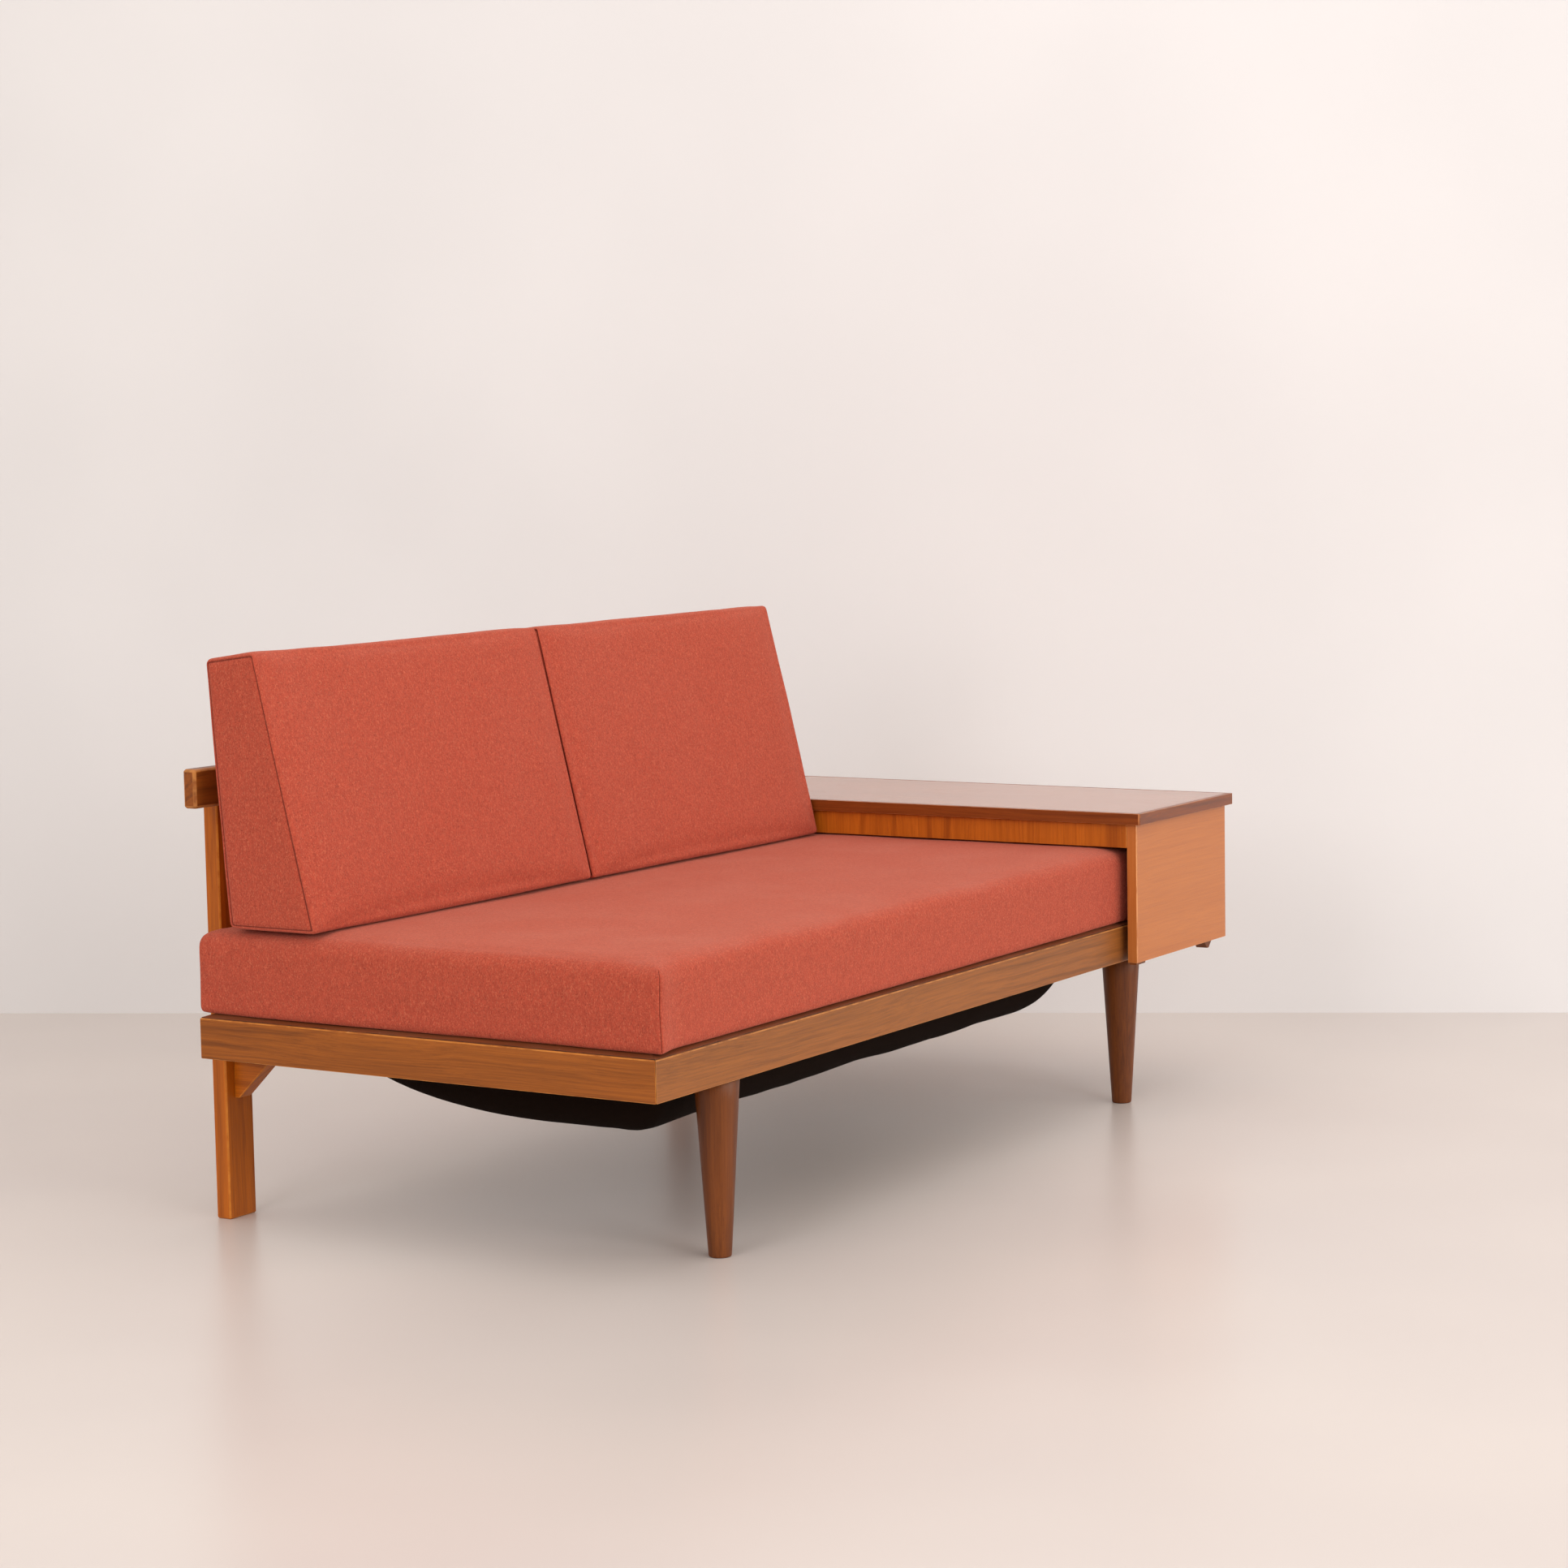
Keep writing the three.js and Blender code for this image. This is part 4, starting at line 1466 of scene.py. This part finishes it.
@dataclass
class Mattress(SewnPiece):
    """The sprung mattress in its wool cover, sewn up each corner."""

    top_round: float = 22 * MM
    bottom_round: float = 9 * MM
    squareness: float = 7.0
    slack: float = 1.0 * MM
    top_slack: float = 3.0 * MM
    pitch: float = 15 * MM
    cap: float = 4 * MM
    fill: float = 0.85
    ripples: tuple[tuple[float, float], ...] = ((3.0, 1.6 * MM), (11.0, 0.7 * MM))
    waist: float = 0.25
    flare_reach: float = 34 * MM
    flares: tuple[float, float, float, float] = (-10 * MM, 4 * MM, -3 * MM, 3 * MM)

    def flared(self, points: np.ndarray, low: Vector, high: Vector) -> np.ndarray:
        """Pushes the cover's upright corners out past its sides, as its seams do.

        Args:
            points: the cover's points.
            low: the cover's lowest corner.
            high: its highest corner.

        Returns:
            The moved points.
        """
        moved = points.copy()
        tall = (points[:, 2] - low.z) / (high.z - low.z)
        pinch = 1 - self.waist + self.waist * np.abs(2 * tall - 1)
        corners = [(x, y) for x in (low.x, high.x) for y in (low.y, high.y)]
        for (x, y), flare in zip(corners, self.flares):
            apart = np.hypot(points[:, 0] - x, points[:, 1] - y) / self.flare_reach
            moved[:, 1] += flare * pinch * np.exp(-(apart**2))
        return moved

    def build(self) -> None:
        """Makes the mattress."""
        low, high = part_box("mattress")
        low += Vector((self.slack, self.slack, 0))
        high -= Vector((self.slack, self.slack, self.top_slack))
        shape = SewnBlock(
            high - low,
            Vector((self.bottom_round,) * 3),
            Vector((self.top_round,) * 3),
            self.pitch,
            self.squareness,
        )

        def corner_seams(keys: np.ndarray, last: np.ndarray) -> np.ndarray:
            """The four upright corner seams."""
            ends = (keys == 0) | (keys == last)
            return ends[:, 0] & ends[:, 1]

        piece = self.sewn(
            "mattress_cover",
            shape,
            lambda points: self.flared(points + np.array(low), low, high),
            corner_seams,
            Swell(self.cap),
            self.ripples,
            (Vector((-FAR, -FAR, low.z)), Vector((FAR, FAR, FAR))),
        )
        self.keep(piece, WOOL, "mattress")


@dataclass
class BackCushion(SewnPiece):
    """A wedge-shaped back cushion, its ends sewn in as panels of their own."""

    node: str = ""
    end_round: float = 5 * MM
    side_round: float = 9 * MM
    slack: float = 0.3 * MM
    front_overhang: float = 2.8 * MM
    top_overhang: float = 1.1 * MM
    room: float = 12 * MM
    pitch: float = 11 * MM
    cap: float = 5 * MM
    fill: float = 0.9
    ripples: tuple[tuple[float, float], ...] = ((4.0, 1.4 * MM), (15.0, 0.6 * MM))
    seam_line: int = 2
    foot_share: float = 0.860
    back_top_share: float = 0.971
    front_top_share: float = 0.531

    def build(self) -> None:
        """Makes one cushion."""
        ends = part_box(self.node)
        low = ends[0] + Vector((self.slack, -self.front_overhang, 0))
        high = ends[1] + Vector((-self.slack, 0, self.top_overhang))
        size = high - low
        foot = size.y * self.foot_share
        front_top = size.y * self.front_top_share
        thick = (foot + size.y - front_top) / 2
        corners = np.array([
            (0.0, 0.0),
            (foot, 0.0),
            (size.y, size.z * self.back_top_share),
            (front_top, size.z),
        ])
        rounding = Vector((self.end_round, self.side_round, self.side_round))
        grid = SewnBlock(Vector((size.x, thick, size.z)), rounding, rounding, self.pitch)
        lowest = Vector((ends[0].x, low.y - self.room, low.z))
        highest = Vector((ends[1].x, high.y + self.room, FAR))

        def wedge(points: np.ndarray) -> np.ndarray:
            """Leans the block back between the wedge's four corners.

            Args:
                points: the block's points.

            Returns:
                The points in their place on the part.
            """
            deep, tall = points[:, 1:2] / thick, points[:, 2:3] / size.z
            lower = corners[0] * (1 - deep) + corners[1] * deep
            upper = corners[3] * (1 - deep) + corners[2] * deep
            leaned = lower * (1 - tall) + upper * tall
            return np.column_stack([points[:, 0], leaned]) + np.array(low)

        def end_seams(keys: np.ndarray, last: np.ndarray) -> np.ndarray:
            """The seams around both end panels, a little in from their edges."""
            ring = np.minimum(keys, last - keys)
            return (ring[:, 0] == 0) & (ring[:, 1:].min(axis=1) == self.seam_line)

        piece = self.sewn(
            f"{self.node}_cover",
            grid,
            wedge,
            end_seams,
            Swell(self.cap),
            self.ripples,
            (lowest, highest),
        )
        self.keep(piece, WOOL, self.node)


@dataclass
class BeddingBag(SubAssembly):
    """The cloth bag under the slats, hanging from battens by its hem."""

    left_reach: float = 46 * MM
    right_reach: float = 100 * MM
    front_reach: float = 60 * MM
    back_reach: float = 300 * MM
    roundness: float = 2.4
    back_roundness: float = 1.9
    cloth: float = 1.4 * MM
    hem_width: float = 20 * MM
    hem_thick: float = 1.6 * MM
    end_steps: int = 9
    pitch: float = 14 * MM
    fold: float = 2.2 * MM
    hem_edges: Edges = Edges(width=0.4 * MM)
    stiffness: float = 25.0
    bending: float = 0.8
    hang_frames: int = 12
    hang_cap: float = 3 * MM
    tack_pitch: float = 62 * MM
    tack_radius: float = 3.2 * MM
    tack_rise: float = 0.3
    tack_sides: int = 12
    tack_sink: float = 0.2 * MM

    def rise(self, distance: np.ndarray, reach: float, power: float) -> np.ndarray:
        """A rounded rise from 0 at an edge to 1 past its reach, fuller for a higher power."""
        inside = np.clip(distance / reach, 0, 1)
        return (1 - (1 - inside) ** power) ** (1 / power)

    def stations(self, low: float, high: float, first: float, last: float) -> np.ndarray:
        """Where the cloth's grid lines cross one axis, close together where it is steep.

        Args:
            low: the axis's lower edge.
            high: its upper edge.
            first: how far the rounding reaches from the lower edge.
            last: how far it reaches from the upper edge.

        Returns:
            The places, from low to high.
        """
        near = 1 - np.cos(np.linspace(0, math.pi / 2, self.end_steps))
        start, end = low + first * near, high - last * near[::-1]
        count = max(2, round((end[0] - start[-1]) / self.pitch))
        middle = start[-1] + (end[0] - start[-1]) * np.arange(1, count) / count
        return np.concatenate([start, middle, end])

    def sheet(self, low: Vector, high: Vector) -> bpy.types.Object:
        """Makes the cloth, as one sheet hanging from its edge.

        Args:
            low: the bag's lowest corner.
            high: its highest corner.

        Returns:
            The sheet.
        """
        hem = high.z - self.cloth
        xs = self.stations(low.x, high.x, self.left_reach, self.right_reach)
        ys = self.stations(low.y, high.y, self.front_reach, self.back_reach)
        grid_x, grid_y = (axis.ravel() for axis in np.meshgrid(xs, ys))
        power = self.roundness
        drop = self.rise(grid_x - low.x, self.left_reach, power)
        drop *= self.rise(high.x - grid_x, self.right_reach, power)
        drop *= self.rise(grid_y - low.y, self.front_reach, power)
        drop *= self.rise(high.y - grid_y, self.back_reach, self.back_roundness)
        depth = hem - low.z - self.fold
        folds = np.array([
            noise.noise(Vector((x * 9, y * 2.6, 0.4))) + 0.5 * noise.noise(Vector((x * 21, y * 6, 2.2)))
            for x, y in zip(grid_x, grid_y)
        ])
        level = hem - depth * drop + self.fold * folds * drop
        width = len(xs)
        faces = [
            (row * width + i, row * width + i + 1, (row + 1) * width + i + 1, (row + 1) * width + i)
            for row in range(len(ys) - 1)
            for i in range(width - 1)
        ]
        points = np.column_stack([grid_x, grid_y, np.maximum(level, low.z)])
        return new_piece("bedding_bag_cloth", mesh_of("bedding_bag_cloth", points, faces))

    def band(self, low: Vector, high: Vector) -> bpy.types.Object:
        """Makes the doubled hem, a flat band all round.

        Args:
            low: the bag's lowest corner.
            high: its highest corner.

        Returns:
            The band.
        """
        rings = (plan(low, high), plan(low, high, self.hem_width))
        levels = (high.z - self.cloth, high.z - self.cloth + self.hem_thick)
        points = [(x, y, z) for z in levels for ring in rings for x, y in ring]
        faces = []
        for i in range(4):
            j = (i + 1) % 4
            faces += [(i, i + 4, j + 4, j), (i + 8, j + 8, j + 12, i + 12)]
            faces += [(i, j, j + 8, i + 8), (j + 4, i + 4, i + 12, j + 12)]
        return self.hem_edges.ease(new_piece("bedding_bag_hem", mesh_of("hem", points, faces)))

    def tacks(self, low: Vector, high: Vector) -> bpy.types.Object:
        """Makes the tacks that hold the hem to its battens.

        Args:
            low: the bag's lowest corner.
            high: its highest corner.

        Returns:
            The tacks, as one piece.
        """
        inset = self.hem_width / 2
        left, right, front, back = low.x + inset, high.x - inset, low.y + inset, high.y - inset
        columns = max(2, round((right - left) / self.tack_pitch))
        rows = max(2, round((back - front) / self.tack_pitch))
        spots = [(left + (right - left) * i / columns, y) for i in range(columns + 1) for y in (front, back)]
        spots += [(x, front + (back - front) * j / rows) for j in range(1, rows) for x in (left, right)]
        shares = ((1.0, 0.0), (0.92, 0.4), (0.7, 0.72), (0.35, 0.94), (0.05, 1.0))
        dome = [(self.tack_radius * c, self.tack_radius * self.tack_rise * s) for c, s in shares]
        heads = []
        for x, y in spots:
            head = turned("tack", dome, self.tack_sides)
            head.data.transform(Matrix.Rotation(math.pi, 4, "X"))
            head.data.transform(Matrix.Translation((x, y, high.z - self.cloth - self.tack_sink)))
            heads.append(head)
        return joined("bedding_bag_tacks", heads)

    def build(self) -> None:
        """Makes the bag, its hem and tacks, and the battens above it."""
        low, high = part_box("bedding_bag")
        sheet = self.sheet(low, high)
        self.settle(sheet)
        thicker = sheet.modifiers.new("thickness", "SOLIDIFY")
        thicker.thickness = self.cloth
        thicker.offset = 1.0
        applied(sheet)
        smoothed(sheet)
        self.keep(sheet, BAG_CLOTH, "bedding_bag")
        hem = self.keep(self.band(low, high), HEM_CLOTH)
        tacks = self.keep(self.tacks(low, high), TACK_STEEL)
        self.boards(("bag_batten_front", "bag_batten_rear"), Grain.X, BEECH)
        self.boards(("bag_batten_left", "bag_batten_right"), Grain.Y, BEECH)

    def settle(self, sheet: bpy.types.Object) -> None:
        """Lets the cloth hang from its pinned hem for a moment, so that it creases.

        Args:
            sheet: the bag's sheet.
        """
        rest = places(sheet.data)
        flat = rest[:, :2]
        on_edge = (flat <= flat.min(axis=0) + SAME) | (flat >= flat.max(axis=0) - SAME)
        pins = sheet.vertex_groups.new(name="hem")
        pins.add([int(index) for index in np.nonzero(on_edge.any(axis=1))[0]], 1.0, "REPLACE")
        cloth = sheet.modifiers.new("hang", "CLOTH")
        cloth.settings.vertex_group_mass = pins.name
        cloth.settings.tension_stiffness = self.stiffness
        cloth.settings.compression_stiffness = self.stiffness
        cloth.settings.bending_stiffness = self.bending
        settled = rest + capped(simulated(sheet, cloth, self.hang_frames), self.hang_cap)
        settled[:, 2] = np.maximum(settled[:, 2], rest[:, 2].min() - self.hang_cap)
        put_places(sheet.data, settled)


# ----------------------------------------------------------------------------------------------
# End table
# ----------------------------------------------------------------------------------------------


@dataclass
class EndTable(SubAssembly):
    """The box of veneered panels that slides out from the end of the bed."""

    lipping: float = 9 * MM
    corner: float = 3 * MM
    corner_steps: int = 4
    banding: float = 3.6 * MM
    joint: float = 0.12 * MM
    edges: Edges = Edges(width=0.6 * MM, steps=2)
    top_edges: Edges = Edges(width=1.8 * MM, steps=3, angle=math.radians(60))
    core_edges: Edges = Edges(width=0.15 * MM, steps=1)
    glide_inset: float = 2 * MM
    glide_length: float = 34 * MM
    glide_drop: float = 3.4 * MM
    glide_gap: float = 0.1 * MM

    def arc(self, middle: tuple[float, float], start: float, end: float) -> list[tuple[float, float]]:
        """A rounded corner's points.

        Args:
            middle: the middle of the round.
            start: its first angle, in degrees.
            end: its last angle, in degrees.

        Returns:
            The points, in order.
        """
        angles = np.radians(np.linspace(start, end, self.corner_steps))
        return [
            (middle[0] + self.corner * math.cos(a), middle[1] + self.corner * math.sin(a))
            for a in angles
        ]

    def top(self) -> None:
        """Makes the top: a veneered core with a mitred solid lipping along each side."""
        low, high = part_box("table_top")
        rounds = plan(low, high, self.corner)
        inner = plan(low, high, self.lipping)
        names = ("front", "right", "rear", "left")
        grains = (Grain.X, Grain.Y, Grain.X, Grain.Y)
        for side, (name, grain) in enumerate(zip(names, grains)):
            after = (side + 1) % 4
            turn = 90 * side
            outline = self.arc(rounds[side], 225 + turn, 270 + turn)
            outline += self.arc(rounds[after], 270 + turn, 315 + turn)
            outline += [inner[after], inner[side]]
            piece = prism(f"table_top_lipping_{name}", outline, low.z, high.z)
            self.board(piece, grain, EDGE_TEAK, self.top_edges, f"lipping_{name}", "table_top")
        inset = self.lipping + self.joint
        core = block(
            "table_top_core",
            Vector((low.x + inset, low.y + inset, low.z)),
            Vector((high.x - inset, high.y - inset, high.z)),
        )
        self.board(core, Grain.Y, TOP_TEAK, self.core_edges, "table_top")

    def banded_panel(self, node: str) -> None:
        """Makes an end panel, with a thin solid band up the edge by the mattress.

        Args:
            node: the CAD node.
        """
        low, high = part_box(node)
        split = low.x + self.banding
        panel = block(f"{node}_veneered", Vector((split + self.joint, low.y, low.z)), high)
        self.board(panel, Grain.X, PANEL_VENEER, self.edges, node, node)
        band = block(f"{node}_band", low, Vector((split, high.y, high.z)))
        self.board(band, Grain.Z, PANEL_VENEER, self.edges, f"{node}_band")

    def glides(self) -> None:
        """Makes the dark strip under each end panel that the table slides on."""
        for side, node in (("front", "table_front_panel"), ("rear", "table_rear_panel")):
            low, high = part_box(node)
            strip = block(
                f"table_glide_{side}",
                low + Vector((self.glide_inset, self.glide_inset, -self.glide_drop)),
                Vector((low.x + self.glide_length, high.y - self.glide_inset, low.z - self.glide_gap)),
            )
            self.board(strip, Grain.X, LEG_TEAK, self.edges, f"glide_{side}")

    def build(self) -> None:
        """Makes every board of the table."""
        self.top()
        self.banded_panel("table_front_panel")
        self.banded_panel("table_rear_panel")
        self.boards(("table_outer_panel",), Grain.Y, PANEL_VENEER, self.edges)
        self.boards(("table_apron",), Grain.Z, APRON_VENEER, self.edges)
        self.boards(("table_block_front", "table_block_rear"), Grain.Z, LEG_TEAK)
        self.boards(("table_cleat_front", "table_cleat_rear"), Grain.X, BEECH)
        self.boards(("table_runner_front", "table_runner_back"), Grain.X, BEECH)
        self.glides()


# ----------------------------------------------------------------------------------------------
# Studio
# ----------------------------------------------------------------------------------------------


@dataclass(frozen=True)
class Lamp:
    """A square, soft area light: its place, what it points at, its side, watts and colour."""

    name: str
    at: Point
    aim: Point
    size: float
    power: float
    colour: Rgb = (252, 251, 252)

    def hang(self) -> None:
        """Hangs the lamp in the scene."""
        data = bpy.data.lights.new(self.name, "AREA")
        data.size = self.size
        data.energy = self.power
        data.color = linear(self.colour)[:3]
        lamp = bpy.data.objects.new(self.name, data)
        bpy.context.scene.collection.objects.link(lamp)
        lamp.location = self.at
        lamp.rotation_euler = (Vector(self.aim) - Vector(self.at)).to_track_quat("-Z", "Y").to_euler()


@dataclass
class Studio:
    """A pale, slightly glossy floor, a plain wall and soft light, with the camera."""

    eye: Point = (-4.3742, -2.7783, 1.0609)
    heading: float = math.radians(58.15)
    tilt: float = math.radians(5.60)
    roll: float = math.radians(-1.05)
    lens: float = 79.44
    sensor: float = 36.0
    sight: float = 200.0
    wall_heading: float = math.radians(64.4)
    wall_distance: float = 6.38
    floor_size: float = 30.0
    wall_height: float = 9.0
    wall_colour: Rgb = (229, 229, 232)
    floor_colour: Rgb = (211, 203, 199)
    shade: float = 0.98
    uneven: float = 0.05
    air_colour: Rgb = (255, 244, 231)
    air_strength: float = 0.95
    lamps: tuple[Lamp, ...] = (
        Lamp("ceiling", (-0.6, -0.8, 3.6), (0, 0, 0), 3.5, 27),
        Lamp("low_fill", (1.6, -6.6, 1.3), (0, 0, 0.1), 3.2, 104, (255, 251, 246)),
        Lamp("window", (-4.2, -0.2, 2.0), (0, 0, 0.4), 1.6, 36),
        Lamp("front", (-1.7, -4.5, 2.2), (0, 0, 0.3), 1.8, 52),
    )

    def camera(self) -> None:
        """Sets the camera up."""
        data = bpy.data.cameras.new("camera")
        data.lens = self.lens
        data.sensor_width = self.sensor
        data.clip_end = self.sight
        camera = bpy.data.objects.new("camera", data)
        bpy.context.scene.collection.objects.link(camera)
        turn = (
            Matrix.Rotation(-self.heading, 4, "Z")
            @ Matrix.Rotation(math.pi / 2 - self.tilt, 4, "X")
            @ Matrix.Rotation(self.roll, 4, "Z")
        )
        camera.matrix_world = Matrix.Translation(self.eye) @ turn
        bpy.context.scene.camera = camera

    def plain(self, name: str, colour: Rgb, roughness: float, gloss: float) -> bpy.types.Material:
        """A pale surface with slight clouding.

        Args:
            name: the material's name.
            colour: its colour.
            roughness: its roughness.
            gloss: its specular level.

        Returns:
            The material.
        """
        material, nodes, shader = new_material(name)
        place = nodes.add("TexCoord").outputs["Object"]
        cloud = nodes.span(nodes.cloud(place, 1.3), 0.3, 0.7)
        darker = tuple(int(step * self.shade) for step in colour)
        least, most = roughness * (1 - self.uneven), roughness * (1 + self.uneven)
        nodes.join(shader, {
            "Base Color": nodes.mixed(cloud, linear(darker), linear(colour)),
            "Roughness": nodes.span(nodes.cloud(place, 2.0), 0.3, 0.7, least, most),
            "Specular IOR Level": gloss,
        })
        return material

    def wall_material(self) -> bpy.types.Material:
        """The wall's plain paint, clear from behind.

        Returns:
            The material.
        """
        material = self.plain("wall_paint", self.wall_colour, roughness=0.8, gloss=0.2)
        nodes = Shading(material.node_tree)
        shader = material.node_tree.nodes["Principled BSDF"]
        behind = nodes.add("NewGeometry").outputs["Backfacing"]
        clear = nodes.add("BsdfTransparent").outputs[0]
        either = nodes.add("MixShader", {0: behind, 1: shader.outputs[0], 2: clear})
        end = material.node_tree.nodes["Material Output"]
        nodes.feed(end.inputs["Surface"], either.outputs[0])
        return material

    def room(self) -> None:
        """Lays the floor and stands the wall behind the bed."""
        half = self.floor_size / 2
        corners = [(-half, -half, 0), (half, -half, 0), (half, half, 0), (-half, half, 0)]
        floor = new_piece("studio_floor", mesh_of("studio_floor", corners, [(0, 1, 2, 3)]))
        floor.data.materials.append(self.plain("floor_resin", self.floor_colour, roughness=0.3, gloss=0.5))
        ahead = Vector((math.sin(self.wall_heading), math.cos(self.wall_heading), 0))
        side = Vector((ahead.y, -ahead.x, 0))
        foot = Vector((self.eye[0], self.eye[1], 0)) + ahead * self.wall_distance
        up = Vector((0, 0, self.wall_height))
        ring = [foot - side * half, foot + side * half, foot + side * half + up, foot - side * half + up]
        wall = new_piece("studio_wall", mesh_of("studio_wall", ring, [(0, 1, 2, 3)]))
        wall.data.materials.append(self.wall_material())

    def light(self) -> None:
        """Lights the room softly from the front and above."""
        world = bpy.data.worlds.new("studio_air")
        world.use_nodes = True
        sky = world.node_tree.nodes["Background"]
        sky.inputs["Color"].default_value = linear(self.air_colour)
        sky.inputs["Strength"].default_value = self.air_strength
        bpy.context.scene.world = world
        for lamp in self.lamps:
            lamp.hang()

    def build(self) -> None:
        """Makes the room, the lights and the camera."""
        self.camera()
        self.room()
        self.light()
        bpy.context.scene.view_settings.view_transform = "Standard"


def main() -> None:
    """Builds the daybed's sub-assemblies in order, then the studio around them."""
    logging.basicConfig(level=logging.INFO, format="%(name)s: %(message)s")
    Studio().build()
    bed = "bed_frame"
    BedBase(bed).build()
    FrontLegs(bed).build()
    BackFrame(bed).build()
    Mattress(bed).build()
    for side in ("left", "right"):
        BackCushion(f"{side}_cushion", node=f"back_cushion_{side}").build()
    BeddingBag(bed).build()
    EndTable("end_table").build()


if __name__ == "__main__":
    main()
